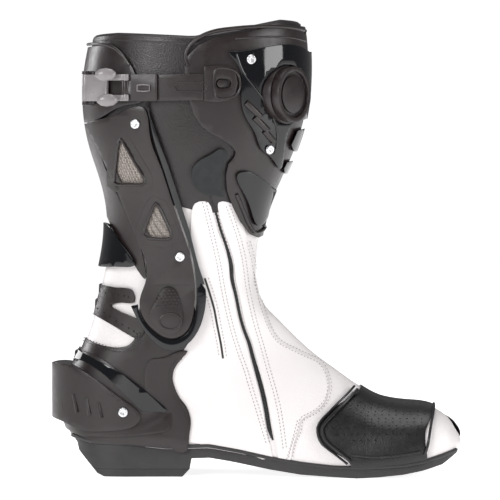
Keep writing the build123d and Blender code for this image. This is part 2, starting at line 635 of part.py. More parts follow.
SHIN_PADS = [[(117, 262), (132, 266), (134, 246), (114, 246), (112, 251)],
             [(109, 238), (128, 241), (130, 229), (107, 229), (106.5, 233)]]
shin_pads = piece(L_ARMOUR, *[prism(pad, smooth=False, outer=14 * KY) for pad in SHIN_PADS])
finish("shin_pads", shin_pads.part)

with BuildPart() as flap_fins:
    for ax, az, bx, bz in [(77.5, 283, 89, 272), (84, 272, 94, 262), (91.5, 262, 98, 254)]:
        start, up = seat(ax, az, L_ARMOUR[1])
        end, _ = seat(bx, bz, L_ARMOUR[1])
        with BuildSketch(Plane(origin=start, z_dir=end - start)):
            Circle(2.6)
        extrude(amount=(end - start).length)
    add(last(L_ARMOUR[1] + GAP), mode=Mode.SUBTRACT)
    add(dial_room, mode=Mode.SUBTRACT)
finish("flap_fins", flap_fins.part)

with BuildPart() as dial_base:
    add(dial_disc(DIAL_R + 1, -30, 5.4))
    add(last(L_TRIM[0]), mode=Mode.SUBTRACT)
    add(dial_disc(DIAL_PIN_R, 5.4, 9.0))
finish("dial_base", dial_base.part)
with BuildPart() as calf_dial:
    add(dial_disc(DIAL_R, 5.4 + SWEEP_GAP, 9.4))
    add(dial_disc(DIAL_R, 9.4, 12.2))
    add(dial_disc(DIAL_R - 3.5, 9.4, 13.0), mode=Mode.SUBTRACT)
    add(dial_disc(DIAL_R - 7, 9.4, 11.0))
    add(dial_disc(DIAL_PIN_R + FIT, 5.0, 9.2), mode=Mode.SUBTRACT)
finish("calf_dial", calf_dial.part)

catch_at, catch_out = seat(*CATCH, L_PLATE[1])
with BuildPart() as flap_catch:
    with BuildSketch(Plane(origin=catch_at, z_dir=catch_out)):
        Circle(CATCH_R)
    extrude(amount=ARMOUR + 1.4)
    with BuildSketch(Plane(origin=catch_at - catch_out, z_dir=catch_out)):
        Circle(CATCH_R + 3)
    extrude(amount=1.0 + GAP + 0.1)
    add(last(L_PLATE[1]), mode=Mode.SUBTRACT)
finish("flap_catch", flap_catch.part)

# ---- buckle, lever and strap ----------------------------------------------------------
STRAP_MID = 294
LEVER_LIFT = 8.5
root_seat, root_out = flat_normal(-36, STRAP_MID, 0.0)
tip_seat, tip_out = flat_normal(-9, STRAP_MID, 0.0)
ROOT = root_seat + root_out * LEVER_LIFT          # buckle hinge
TIP = tip_seat + tip_out * (LEVER_LIFT - 0.3)     # strap hinge on the lever


def post(at, radius, low, high):
    """Upright round bar at a hinge, from low to high about the strap's middle."""
    with BuildPart() as bar:
        with BuildSketch(Plane.XY.offset(STRAP_MID * KZ + low)):
            with Locations((at.X, at.Y)):
                Circle(radius)
        extrude(amount=high - low)
    return bar.part


def bar_between(start, end, thickness, low, high):
    """Upright flat bar with round ends between two hinges."""
    run = end - start
    with BuildPart() as bar:
        with BuildSketch(Plane.XY.offset(STRAP_MID * KZ + low)):
            with Locations(Location(((start.X + end.X) / 2, (start.Y + end.Y) / 2, 0),
                                    (0, 0, degrees(atan2(run.Y, run.X))))):
                SlotCenterToCenter(run.length, thickness)
        extrude(amount=high - low)
    return bar.part


EAR = 2.4
half = STRAP_HEIGHT / 2
with BuildPart() as buckle_base:
    for low in (-half - EAR - 0.3, half + 0.3):
        add(bar_between(ROOT, ROOT - root_out * 9, 2 * BARREL_R, low, low + EAR))
    add(bar_between(ROOT - root_out * 7, ROOT - root_out * 12, 9, -half - EAR, half + EAR))
    add(post(ROOT, BARREL_R + SWEEP_GAP, -half - 0.3, half + 0.3), mode=Mode.SUBTRACT)
    add(last(L_PLATE[1] + GAP), mode=Mode.SUBTRACT)
    add(post(ROOT, BUCKLE_PIN_R, -half - EAR - 0.3, half + EAR + 0.3), mode=Mode.SUBTRACT)
finish("buckle_base", buckle_base.part)
buckle_pin = post(ROOT, BUCKLE_PIN_R, -half - EAR - 0.3, half + EAR + 0.3)
finish("buckle_pin", buckle_pin)

ARM = 4.6                # height of each lever arm
with BuildPart() as lever:
    for low in (-half, half - ARM):
        add(bar_between(ROOT, TIP, 3.6, low, low + ARM))
        add(post(TIP, BARREL_R, low, low + ARM))
    add(bar_between(ROOT, ROOT + (TIP - ROOT) * 0.52, 3.6, -half, half))
    add(post(ROOT, BARREL_R, -half, half))
    add(post(ROOT, BUCKLE_PIN_R + FIT, -half - 1, half + 1), mode=Mode.SUBTRACT)
    add(post(TIP, BUCKLE_PIN_R, -half - 1, half + 1), mode=Mode.SUBTRACT)
finish("lever", lever.part)
strap_pin = post(TIP, BUCKLE_PIN_R, -half, half)
finish("strap_pin", strap_pin)

tongue_seat, tongue_out = flat_normal(12, STRAP_MID, 0.0)
TONGUE_END = tongue_seat + tongue_out * (L_ARMOUR[1] + 2.4)
inner_half = half - ARM - 0.3
with BuildPart() as tongue:
    add(bar_between(TIP, TONGUE_END, 2.4, -inner_half, inner_half))
    add(bar_between(TIP + (TONGUE_END - TIP) * 0.2, TONGUE_END, 2.4, -half, half))
    add(post(TIP, BARREL_R - 0.3, -inner_half, inner_half))
    add(post(TIP, BARREL_R + 0.3, -half - 1, -inner_half), mode=Mode.SUBTRACT)
    add(post(TIP, BARREL_R + 0.3, inner_half, half + 1), mode=Mode.SUBTRACT)
    add(post(TIP, BUCKLE_PIN_R + FIT, -half - 1, half + 1), mode=Mode.SUBTRACT)
    add(last(L_ARMOUR[1] + GAP), mode=Mode.SUBTRACT)
finish("tongue", tongue.part)

STRAP = [(-2, 303.5), (20, 304), (46, 304), (46, 284.5), (20, 284), (-2, 283.5)]
strap_root = post(TIP, BARREL_R + 1.0, -half - 2, half + 2)
strap = piece(L_ARMOUR, prism(STRAP, smooth=False, outer=0), less=(strap_root,))
finish("strap", strap.part)
CLIP = [(46.6, 309.5), (56, 310.5), (65, 310), (70, 304), (71.5, 297), (70, 290), (65, 284.5),
        (56, 283), (46.6, 284)]
with BuildPart() as catch_slot:
    with BuildSketch(Plane(origin=catch_at, x_dir=Vector(1, 0, 0) - catch_out * catch_out.X,
                           z_dir=catch_out)):
        with Locations((2.2, 0)):
            SlotOverall(4.4 + 2 * CATCH_R + 1.6, 2 * CATCH_R + 1.6)
    extrude(amount=20)
    with BuildSketch(Plane(origin=catch_at, z_dir=catch_out)):
        Circle(CATCH_R + 3.5)
    extrude(amount=GAP + 0.5)
clip = piece(L_ARMOUR, prism(CLIP, smooth=False, outer=0), less=(catch_slot.part,))
finish("clip", clip.part)

# ---- zip slider -----------------------------------------------------------------------
SLIDE_FROM, SLIDE_TO = (52.3, 221), (60, 188)
top_seat, zip_out = seat(*SLIDE_FROM, L_TRIM[1] + GAP)
low_seat, _ = seat(*SLIDE_TO, L_TRIM[1] + GAP)
run = (low_seat - top_seat).normalized()
with BuildPart() as zip_slider:
    with BuildSketch(Plane(origin=top_seat + zip_out * 0.6, x_dir=run, z_dir=zip_out)):
        RectangleRounded(SLIDER_LENGTH, 7, 1.5)
    extrude(amount=1.2)
finish("zip_slider", zip_slider.part)
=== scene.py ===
import json
import logging
import math
from dataclasses import dataclass, field
from enum import Enum
from typing import Callable, Iterable, Sequence

import bmesh
import bpy
import numpy as np
from mathutils import Matrix, Vector
from mathutils.bvhtree import BVHTree

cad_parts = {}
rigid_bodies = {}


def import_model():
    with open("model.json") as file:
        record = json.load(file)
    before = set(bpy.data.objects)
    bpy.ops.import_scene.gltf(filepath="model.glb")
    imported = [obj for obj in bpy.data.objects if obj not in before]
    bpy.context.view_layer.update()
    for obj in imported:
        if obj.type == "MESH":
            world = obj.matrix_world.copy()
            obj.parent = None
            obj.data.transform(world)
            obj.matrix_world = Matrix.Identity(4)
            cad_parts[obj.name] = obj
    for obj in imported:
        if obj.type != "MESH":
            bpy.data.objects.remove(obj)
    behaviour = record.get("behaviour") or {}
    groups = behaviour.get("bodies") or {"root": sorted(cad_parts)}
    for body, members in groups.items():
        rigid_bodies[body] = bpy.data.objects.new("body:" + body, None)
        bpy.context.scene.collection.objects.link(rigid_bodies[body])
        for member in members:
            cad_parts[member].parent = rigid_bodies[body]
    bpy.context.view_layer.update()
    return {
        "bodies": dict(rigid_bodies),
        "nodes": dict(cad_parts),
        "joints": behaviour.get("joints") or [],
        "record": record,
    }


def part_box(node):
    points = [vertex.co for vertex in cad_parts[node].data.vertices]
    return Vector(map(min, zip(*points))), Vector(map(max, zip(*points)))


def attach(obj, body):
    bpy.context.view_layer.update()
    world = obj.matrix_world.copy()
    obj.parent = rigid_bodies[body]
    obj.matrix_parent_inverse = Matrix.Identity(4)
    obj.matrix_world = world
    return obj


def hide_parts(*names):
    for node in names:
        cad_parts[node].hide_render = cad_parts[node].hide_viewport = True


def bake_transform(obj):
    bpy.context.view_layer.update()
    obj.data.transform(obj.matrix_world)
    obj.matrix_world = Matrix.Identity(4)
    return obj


log = logging.getLogger("boot")
MM = 0.001
WELD = 0.03 * MM          # points closer than this are one
FORM_RINGS = 190          # rings of the form that pieces are laid on
FORM_AROUND = 160
LEATHER = 2.2             # thickness of the leathers in millimetres
FOLD = math.radians(42)   # steeper edges of a hard part are rounded
RIM_FOLD = math.radians(70)
Point2 = tuple[float, float]


class Side(Enum):
    """Which side of the boot a piece is on, as the sign of Y."""

    MEDIAL = -1
    LATERAL = 1


class Slot(str, Enum):
    """Material slots of the record."""

    WHITE = "white_leather"
    BLACK = "black_leather"
    LINING = "lining"
    RUBBER = "rubber"
    MATT = "matt_black"
    GLOSS = "gloss_black"
    MESH = "mesh"
    STEEL = "steel"
    GREY = "grey_plastic"
    STRETCH = "stretch"
    BOARD = "board"
    FOAM = "foam"
    WHITE_PLASTIC = "white_plastic"


# --------------------------------------------------------------------------- finishes


@dataclass(frozen=True)
class Finish:
    """A procedural finish: a tinted base, fine relief and worn variation.

    Attributes:
        slot: The record's material slot.
        color: Main linear colour.
        tint: Second colour, mixed in by slow noise.
        roughness: Mean roughness.
        spread: How far roughness varies.
        grain: Cells per metre of the fine relief.
        relief: Depth of the fine relief in metres.
        metallic: Metallic share.
        coat: Clear coat weight.
        cells: True for leather cells, False for moulded texture.
        edge: Radius of the softened edges in metres.
        woven: True for a cloth whose threads show in its colour.
        glow: Light of its own.
    """

    slot: Slot
    color: tuple[float, float, float]
    tint: tuple[float, float, float]
    roughness: float
    spread: float = 0.06
    grain: float = 900.0
    relief: float = 0.0001
    metallic: float = 0.0
    coat: float = 0.0
    cells: bool = False
    edge: float = 0.0005
    woven: bool = False
    glow: float = 0.0

    def build(self) -> bpy.types.Material:
        """Makes the node material.

        Returns:
            The material, one per finish.
        """
        name = self.name()
        found = bpy.data.materials.get(name)
        if found:
            return found
        material = bpy.data.materials.new(name)
        material.use_nodes = True
        tree = material.node_tree
        nodes, links = tree.nodes, tree.links
        shader = nodes["Principled BSDF"]
        coords = nodes.new("ShaderNodeTexCoord").outputs["Object"]
        slow = self.noise(nodes, links, coords, 28.0, 4.0)
        mottled = self.noise(nodes, links, coords, 160.0, 5.0)
        mix = nodes.new("ShaderNodeMix")
        mix.data_type = "RGBA"
        mix.inputs["A"].default_value = (*self.color, 1)
        mix.inputs["B"].default_value = (*self.tint, 1)
        links.new(self.threads(nodes, links, coords) if self.woven else slow,
                  mix.inputs["Factor"])
        links.new(mix.outputs["Result"], shader.inputs["Base Color"])
        worn = nodes.new("ShaderNodeMapRange")
        worn.inputs["From Min"].default_value = 0.3
        worn.inputs["From Max"].default_value = 0.7
        worn.inputs["To Min"].default_value = max(self.roughness - self.spread, 0.03)
        worn.inputs["To Max"].default_value = min(self.roughness + self.spread, 1.0)
        links.new(mottled, worn.inputs["Value"])
        links.new(worn.outputs["Result"], shader.inputs["Roughness"])
        links.new(self.bump(nodes, links, coords), shader.inputs["Normal"])
        shader.inputs["Metallic"].default_value = self.metallic
        shader.inputs["Coat Weight"].default_value = self.coat
        shader.inputs["Coat Roughness"].default_value = 0.04
        shader.inputs["Emission Color"].default_value = (1, 1, 1, 1)
        shader.inputs["Emission Strength"].default_value = self.glow
        return material

    def name(self) -> str:
        """Returns the material's own name."""
        return f"{self.slot.value}_{int(self.roughness * 100)}_{int(self.color[0] * 1000)}"

    @staticmethod
    def noise(nodes: bpy.types.Nodes, links: bpy.types.NodeLinks, coords: bpy.types.NodeSocket,
              scale: float, detail: float) -> bpy.types.NodeSocket:
        """Adds a noise texture.

        Args:
            nodes: The node collection.
            links: The link collection.
            coords: Socket with the coordinates.
            scale: Noise scale per metre.
            detail: Octaves.

        Returns:
            The noise value socket.
        """
        noise = nodes.new("ShaderNodeTexNoise")
        noise.inputs["Scale"].default_value = scale
        noise.inputs["Detail"].default_value = detail
        links.new(coords, noise.inputs["Vector"])
        return noise.outputs["Fac"]

    def threads(self, nodes: bpy.types.Nodes, links: bpy.types.NodeLinks,
                coords: bpy.types.NodeSocket) -> bpy.types.NodeSocket:
        """Adds the pattern of a woven cloth.

        Args:
            nodes: The node collection.
            links: The link collection.
            coords: Socket with the coordinates.

        Returns:
            A socket from 0 in the gaps to 1 on the threads.
        """
        voronoi = nodes.new("ShaderNodeTexVoronoi")
        voronoi.distance = "CHEBYCHEV"
        voronoi.inputs["Scale"].default_value = self.grain
        voronoi.inputs["Randomness"].default_value = 0.25
        links.new(coords, voronoi.inputs["Vector"])
        gap = nodes.new("ShaderNodeMapRange")
        gap.inputs["From Min"].default_value = 0.15
        gap.inputs["From Max"].default_value = 0.5
        links.new(voronoi.outputs["Distance"], gap.inputs["Value"])
        return gap.outputs["Result"]

    def bump(self, nodes: bpy.types.Nodes, links: bpy.types.NodeLinks,
             coords: bpy.types.NodeSocket) -> bpy.types.NodeSocket:
        """Adds the fine relief.

        Args:
            nodes: The node collection.
            links: The link collection.
            coords: Socket with the coordinates.

        Returns:
            The bumped normal socket.
        """
        fine = self.noise(nodes, links, coords, self.grain * 2.2, 3.0)
        height = fine
        if self.cells:
            voronoi = nodes.new("ShaderNodeTexVoronoi")
            voronoi.feature = "SMOOTH_F1"
            voronoi.inputs["Scale"].default_value = self.grain
            links.new(coords, voronoi.inputs["Vector"])
            joined = nodes.new("ShaderNodeMath")
            joined.operation = "MULTIPLY_ADD"
            joined.inputs[1].default_value = 0.35
            links.new(fine, joined.inputs[0])
            links.new(voronoi.outputs["Distance"], joined.inputs[2])
            height = joined.outputs[0]
        edges = nodes.new("ShaderNodeBevel")
        edges.samples = 4
        edges.inputs["Radius"].default_value = self.edge
        bump = nodes.new("ShaderNodeBump")
        links.new(edges.outputs["Normal"], bump.inputs["Normal"])
        bump.inputs["Strength"].default_value = 0.6
        bump.inputs["Distance"].default_value = self.relief
        links.new(height, bump.inputs["Height"])
        return bump.outputs["Normal"]


WHITE_LEATHER = Finish(Slot.WHITE, (0.70, 0.662, 0.66), (0.74, 0.712, 0.71), 0.42, 0.07,
                       850, 0.00016, cells=True)
PIERCED = Finish(Slot.BLACK, (0.0012, 0.001, 0.001), (0.002, 0.0018, 0.0018), 0.85, 0.05, 900,
                 0.00002)
BLACK_LEATHER = Finish(Slot.BLACK, (0.010, 0.0066, 0.007), (0.016, 0.0112, 0.0116), 0.38, 0.08,
                       900, 0.0002, cells=True)
SHEEN_LEATHER = Finish(Slot.BLACK, (0.021, 0.016, 0.0165), (0.03, 0.023, 0.0235), 0.33, 0.05,
                       800, 0.00008, cells=True)
MATT = Finish(Slot.MATT, (0.0105, 0.0062, 0.0066), (0.017, 0.0105, 0.011), 0.35, 0.06, 1400,
              0.00006)
GLOSS = Finish(Slot.GLOSS, (0.0018, 0.0021, 0.0032), (0.003, 0.0034, 0.005), 0.07, 0.03, 500,
               0.000004)
RUBBER = Finish(Slot.RUBBER, (0.016, 0.0145, 0.015), (0.026, 0.024, 0.0245), 0.55, 0.08, 1200,
                0.00009)
STEEL = Finish(Slot.STEEL, (0.62, 0.63, 0.65), (0.78, 0.78, 0.8), 0.28, 0.08, 1500, 0.00002,
               metallic=1.0)
GREY = Finish(Slot.GREY, (0.17, 0.155, 0.16), (0.25, 0.23, 0.235), 0.3, 0.06, 900, 0.00002,
              coat=0.3)
STRETCH = Finish(Slot.STRETCH, (0.006, 0.0075, 0.008), (0.014, 0.016, 0.017), 0.75, 0.08, 1500,
                 0.0002)
LINING = Finish(Slot.LINING, (0.72, 0.72, 0.71), (0.8, 0.8, 0.79), 0.85, 0.06, 1300, 0.00025,
                cells=True)
WHITE_TRIM = Finish(Slot.WHITE_PLASTIC, (0.8, 0.8, 0.8), (0.86, 0.86, 0.86), 0.3, 0.06, 900,
                    0.00002)
BOARD = Finish(Slot.BOARD, (0.3, 0.25, 0.19), (0.36, 0.3, 0.24), 0.8, 0.05, 900, 0.0001)
FOAM = Finish(Slot.FOAM, (0.08, 0.08, 0.09), (0.12, 0.12, 0.13), 0.9, 0.05, 900, 0.0003)
THREAD = Finish(Slot.WHITE, (0.27, 0.25, 0.25), (0.36, 0.335, 0.33), 0.7, 0.05, 2500, 0.00005)
PAD_LEATHER = Finish(Slot.GLOSS, (0.006, 0.0055, 0.0062), (0.011, 0.0095, 0.0105), 0.34, 0.06,
                     750, 0.00014, cells=True)
DARK_THREAD = Finish(Slot.BLACK, (0.012, 0.011, 0.011), (0.02, 0.018, 0.018), 0.6, 0.05, 2500,
                     0.00005)
MESH_CLOTH = Finish(Slot.MESH, (0.40, 0.355, 0.32), (0.085, 0.07, 0.062), 0.7, 0.08, 850, 0.0004,
                    cells=True, woven=True)

# ------------------------------------------------------------------------------ form


@dataclass(frozen=True)
class Station:
    """A cross-section of the boot's form, in millimetres.

    Attributes:
        back: Rear or lower point (x, z).
        front: Front or upper point (x, z).
        half: Half width.
        centre: Centre line y.
        widest: Where it is widest, as a share of half its length.
        low: Fullness of the rear or lower half.
        high: Fullness of the front or upper half.
    """

    back: Point2
    front: Point2
    half: float
    centre: float = 0.0
    widest: float = 0.0
    low: float = 2.15
    high: float = 2.15

    def row(self) -> list[float]:
        """Returns the numbers in one row, for smooth interpolation."""
        return [*self.back, *self.front, self.half, self.centre, self.widest, self.low, self.high]


STATIONS = [
    Station((-36.5, 352.0), (117.0, 364.0), 57.0),
    Station((-38.0, 334.5), (119.0, 343.5), 57.0),
    Station((-41.5, 316.0), (121.5, 323.5), 57.0),
    Station((-44.0, 293.0), (121.5, 297.0), 57.0),
    Station((-43.0, 271.5), (119.0, 274.0), 56.0),
    Station((-38.0, 247.0), (111.5, 248.5), 54.0),
    Station((-29.5, 220.5), (101.5, 225.5), 50.0),
    Station((-25.5, 197.5), (93.0, 205.0), 46.0),
    Station((-26.5, 174.5), (87.5, 182.0), 42.0),
    Station((-31.0, 151.5), (85.5, 163.0), 39.0),
    Station((-36.5, 128.5), (85.5, 146.0), 37.0),
    Station((-42.5, 108.0), (90.0, 132.5), 36.0, high=2.1),
    Station((-51.0, 88.0), (94.5, 125.5), 36.0, 0.0, -0.05, high=2.1),
    Station((-60.0, 67.5), (99.0, 121.0), 35.5, 0.0, -0.10, 2.2, 2.1),
    Station((-60.5, 46.0), (103.5, 116.5), 35.0, 0.0, -0.16, 2.4, 2.1),
    Station((-52.0, 23.0), (109.0, 111.0), 34.5, 0.0, -0.24, 3.2, 2.1),
    Station((-34.0, 14.5), (116.0, 104.0), 34.5, 0.0, -0.30, 4.5, 2.1),
    Station((-3.5, 14.0), (123.5, 97.0), 35.0, 0.0, -0.34, 5.0, 2.1),
    Station((35.0, 13.0), (132.5, 89.5), 36.0, 0.0, -0.35, 5.0, 2.1),
    Station((77.0, 8.5), (145.0, 80.5), 38.5, 0.0, -0.35, 5.0, 2.1),
    Station((119.0, 1.0), (161.0, 69.0), 43.5, 1.0, -0.35, 5.0, 2.1),
    Station((153.5, -1.5), (180.0, 58.0), 47.0, 1.0, -0.35, 5.0, 2.2),
    Station((184.0, -0.5), (199.5, 54.5), 48.0, -1.0, -0.35, 4.5, 2.3),
    Station((207.0, 3.0), (214.5, 53.0), 45.0, -4.0, -0.30, 4.0, 2.4),
    Station((226.0, 9.0), (230.0, 45.0), 37.0, -8.0, -0.2, 3.2, 2.4),
    Station((235.0, 14.5), (238.5, 33.0), 25.0, -11.0, -0.1, 2.6, 2.4),
    Station((239.5, 19.0), (241.2, 28.0), 14.0, -12.0, 0.0, 2.2, 2.2),
]
SOLE_TOP = [(-57, 30), (-34, 25), (-11, 24.5), (19.5, 22), (50, 23), (73, 19), (96, 14), (119, 10),
            (142, 7.5), (165, 7), (195.5, 9), (211, 12), (226, 17), (240, 21.5)]
RIM = [(-60, 333), (-18.5, 335), (38.5, 332), (73, 338), (103.5, 345), (140, 343.5)]


def along(line: Sequence[Point2], x: float) -> float:
    """Height of a broken line at x.

    Args:
        line: Points (x, z) in order of x.
        x: Where to read it.

    Returns:
        The height.
    """
    return float(np.interp(x, [p[0] for p in line], [p[1] for p in line]))


def smooth(points: Sequence[Point2], closed: bool = True, step: float = 2.0) -> list[Point2]:
    """Points of an even, smooth curve through the given ones.

    Args:
        points: Points to pass through.
        closed: Whether the curve returns to its start.
        step: Spacing of the result in millimetres.

    Returns:
        The sampled curve.
    """
    p = np.array(points, float)
    n = len(p)
    spans = n if closed else n - 1
    out: list[Point2] = []
    for i in range(spans):
        a, b = p[i], p[(i + 1) % n]
        before = p[i - 1] if closed or i else a * 2 - b
        after = p[(i + 2) % n] if closed or i + 2 < n else b * 2 - a
        d0, d1, d2 = (max(np.linalg.norm(v), 1e-6) ** 0.5 for v in (a - before, b - a, after - b))
        m1 = ((a - before) / d0 - (b - before) / (d0 + d1) + (b - a) / d1) * d1
        m2 = ((b - a) / d1 - (after - a) / (d1 + d2) + (after - b) / d2) * d1
        count = max(int(np.linalg.norm(b - a) / step), 1)
        for k in range(count):
            t = k / count
            h = (2 * t**3 - 3 * t**2 + 1, t**3 - 2 * t**2 + t, -2 * t**3 + 3 * t**2, t**3 - t**2)
            q = h[0] * a + h[1] * m1 + h[2] * b + h[3] * m2
            out.append((float(q[0]), float(q[1])))
    if not closed:
        out.append(tuple(points[-1]))
    return out


def resample(points: Sequence[Point2], spacing: float) -> list[Point2]:
    """The same path with evenly spaced points.

    Args:
        points: An open path.
        spacing: Distance between points.

    Returns:
        The even path.
    """
    p = np.array(points, float)
    s = np.concatenate([[0], np.cumsum(np.linalg.norm(np.diff(p, axis=0), axis=1))])
    at = np.arange(0, s[-1], spacing)
    return [(float(np.interp(v, s, p[:, 0])), float(np.interp(v, s, p[:, 1]))) for v in at]


class Form:
    """The smooth body of foot and leg that every layer follows."""

    def __init__(self, stations: Sequence[Station]) -> None:
        """Prepares the interpolation and a mesh to drop points on.

        Args:
            stations: Cross-sections from the top line to the toe.
        """
        self.rows = np.array([s.row() for s in stations])
        bm = self.skin(np.linspace(0, len(stations) - 1, FORM_RINGS), 0.0, FORM_AROUND)
        self.tree = BVHTree.FromBMesh(bm)
        bm.free()

    def at(self, t: float) -> np.ndarray:
        """Interpolated station numbers.

        Args:
            t: Station parameter.

        Returns:
            The nine numbers.
        """
        i = min(int(t), len(self.rows) - 2)
        f = t - i
        p0, p1 = self.rows[max(i - 1, 0)], self.rows[i]
        p2, p3 = self.rows[i + 1], self.rows[min(i + 2, len(self.rows) - 1)]
        return 0.5 * (2 * p1 + (p2 - p0) * f + (2 * p0 - 5 * p1 + 4 * p2 - p3) * f * f
                      + (3 * p1 - p0 - 3 * p2 + p3) * f**3)

    def point(self, t: float, turn: float, grow: float) -> Vector:
        """A point on the form.

        Args:
            t: Station parameter.
            turn: Angle round the section, 0 at the front, positive to the lateral side.
            grow: Distance out from the leather's face in millimetres.

        Returns:
            The point in metres.
        """
        bx, bz, fx, fz, half, centre, widest, low, high = self.at(t)
        length = math.hypot(fx - bx, fz - bz) / 2
        ux, uz = (fx - bx) / (2 * length), (fz - bz) / (2 * length)
        c, s = math.cos(turn), math.sin(turn)
        n = high if c >= 0 else low
        crest = widest * length
        span = max((length - crest if c >= 0 else length + crest) + grow, 1.5)
        a = crest + math.copysign(abs(c) ** (2 / n), c) * span
        y = math.copysign(abs(s) ** (2 / n), s) * (half + grow) + centre
        toe = max(0.0, min(1.0, (t - 22) / 4)) * grow
        return Vector(((bx + fx) / 2 + ux * a + toe, y, (bz + fz) / 2 + uz * a)) * MM

    def skin(self, ts: Iterable[float], grow: float, around: int) -> bmesh.types.BMesh:
        """The form's surface between station parameters.

        Args:
            ts: Station parameters of the rings.
            grow: Distance out from the leather's face.
            around: Points round each ring.

        Returns:
            A mesh of bridged rings, open at both ends.
        """
        bm = bmesh.new()
        last_ring: list[bmesh.types.BMEdge] = []
        for t in ts:
            made = bmesh.ops.create_circle(bm, segments=around, radius=1.0)["verts"]
            for k, vert in enumerate(made):
                vert.co = self.point(float(t), math.tau * k / around, grow)
            ring = list({e for v in made for e in v.link_edges})
            if last_ring:
                bmesh.ops.bridge_loops(bm, edges=last_ring + ring)
            last_ring = ring
        bmesh.ops.recalc_face_normals(bm, faces=bm.faces)
        return bm

    def level(self, turn: float, height: Callable[[float], float], grow: float) -> float:
        """Station parameter where one line down the leg meets a height.

        Args:
            turn: Angle round the section.
            height: Height in millimetres for each x.
            grow: Distance out from the leather's face.

        Returns:
            The station parameter.
        """
        low, high = 0.0, 13.0
        for _ in range(26):
            mid = (low + high) / 2
            spot = self.point(mid, turn, grow) / MM
            low, high = (mid, high) if spot.z > height(spot.x) else (low, mid)
        return (low + high) / 2

    def tailored(self, top: Callable[[float], float], bottom: Callable[[float], float] | None,
                 grow: float, rings: int, around: int) -> bmesh.types.BMesh:
        """The form's surface between two heights, or from a height to the toe.

        Args:
            top: Upper height for each x, in millimetres.
            bottom: Lower height for each x, or None to go on to the toe.
            grow: Distance out from the leather's face.
            rings: Number of rings.
            around: Points round each ring.

        Returns:
            A mesh open at the top, and at the bottom unless it goes on to the toe.
        """
        turns = [math.tau * k / around for k in range(around)]
        starts = [self.level(a, top, grow) for a in turns]
        ends = [self.level(a, bottom, grow) if bottom else len(self.rows) - 1.0 for a in turns]
        bm = bmesh.new()
        before: list[bmesh.types.BMEdge] = []
        for k in range(rings):
            made = bmesh.ops.create_circle(bm, segments=around, radius=1.0)["verts"]
            for vert, turn, a, b in zip(made, turns, starts, ends):
                spot = self.point(a + (b - a) * k / (rings - 1), turn, grow)
                spot.z = max(spot.z, (along(SOLE_TOP, spot.x / MM) - 1.0) * MM)
                vert.co = spot
            ring = list({e for v in made for e in v.link_edges})
            if before:
                bmesh.ops.bridge_loops(bm, edges=before + ring)
            before = ring
        if bottom is None:
            bmesh.ops.contextual_create(bm, geom=before)
        return bm

    def drop(self, x: float, z: float, lift: float, side: Side = Side.MEDIAL) -> Vector:
        """The point over the form seen at (x, z) from one side.

        Args:
            x: Along the boot, in millimetres.
            z: Height, in millimetres.
            lift: Height over the leather in millimetres.
            side: The side it is seen from.

        Returns:
            The point in metres.
        """
        hit, normal = self.touch(x, z, side)
        return hit + normal * lift * MM

    def touch(self, x: float, z: float, side: Side = Side.MEDIAL) -> tuple[Vector, Vector]:
        """Where a line of sight from one side meets the form.

        Args:
            x: Along the boot, in millimetres.
            z: Height, in millimetres.
            side: The side it is seen from.

        Returns:
            The point in metres and the unit normal. Past the outline, the nearest point.
        """
        sign = side.value
        start = Vector((x, 300.0 * sign, z)) * MM
        hit, normal, _, _ = self.tree.ray_cast(start, Vector((0, -sign, 0)))
        if hit is None:
            near, normal, _, _ = self.tree.find_nearest(Vector((x, 12.0 * sign, z)) * MM)
            hit = near
        if normal.y * sign < 0:
            normal = -normal
        return hit, normal


# ---------------------------------------------------------------------- mesh helpers


def publish(name: str, bm: bmesh.types.BMesh, finish: Finish, body: str | None,
            replaces: Sequence[str] = (), sharp: float = 35.0) -> bpy.types.Object:
    """Turns a bmesh into a finished piece of the object.

    Args:
        name: Name of the piece.
        bm: Its shape in metres; it is freed.
        finish: Its finish.
        body: The moving body it rides on, or None to leave it unattached.
        replaces: The frame nodes it stands for.
        sharp: Edges steeper than this many degrees stay crisp.

    Returns:
        The new object.
    """
    mesh = bpy.data.meshes.new(name)
    bmesh.ops.recalc_face_normals(bm, faces=bm.faces)
    for face in bm.faces:
        face.smooth = True
    bm.to_mesh(mesh)
    bm.free()
    mesh.set_sharp_from_angle(angle=math.radians(sharp))
    mesh.materials.append(finish.build())
    obj = bpy.data.objects.new(name, mesh)
    bpy.context.scene.collection.objects.link(obj)
    if body:
        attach(obj, body)
    if replaces:
        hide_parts(*replaces)
    log.info("%s: %d faces", name, len(mesh.polygons))
    return obj


@dataclass
class Reworked:
    """A hard part: the frame's solid with its edges rounded and a real finish.

    Attributes:
        node: The frame node.
        body: The body it rides on.
        finish: Its finish.
        edge: Radius of its rounded edges in millimetres, or 0 to leave them.
    """

    node: str
    body: str
    finish: Finish
    edge: float = 0.5

    def build(self, frame: dict) -> bpy.types.Object:
        """Makes the part.


        Returns:
            The part's object.
        """
        bm = bmesh.new()
        bm.from_mesh(frame["nodes"][self.node].data)
        bmesh.ops.remove_doubles(bm, verts=bm.verts, dist=WELD)
        bmesh.ops.dissolve_degenerate(bm, dist=WELD, edges=bm.edges)
        if self.edge:
            self.round_edges(bm)
        return publish(f"{self.node}_look", bm, self.finish, self.body, (self.node,), 40.0)

    def round_edges(self, bm: bmesh.types.BMesh) -> None:
        """Rounds the crisp edges.

        Args:
            bm: The part's mesh.
        """
        crisp = [e for e in bm.edges if len(e.link_faces) == 2
                 and e.calc_face_angle(0.0) > FOLD]
        bmesh.ops.bevel(bm, geom=crisp, offset=self.edge * MM, offset_type="OFFSET", segments=2,
                        profile=0.5, affect="EDGES", clamp_overlap=True, material=-1)


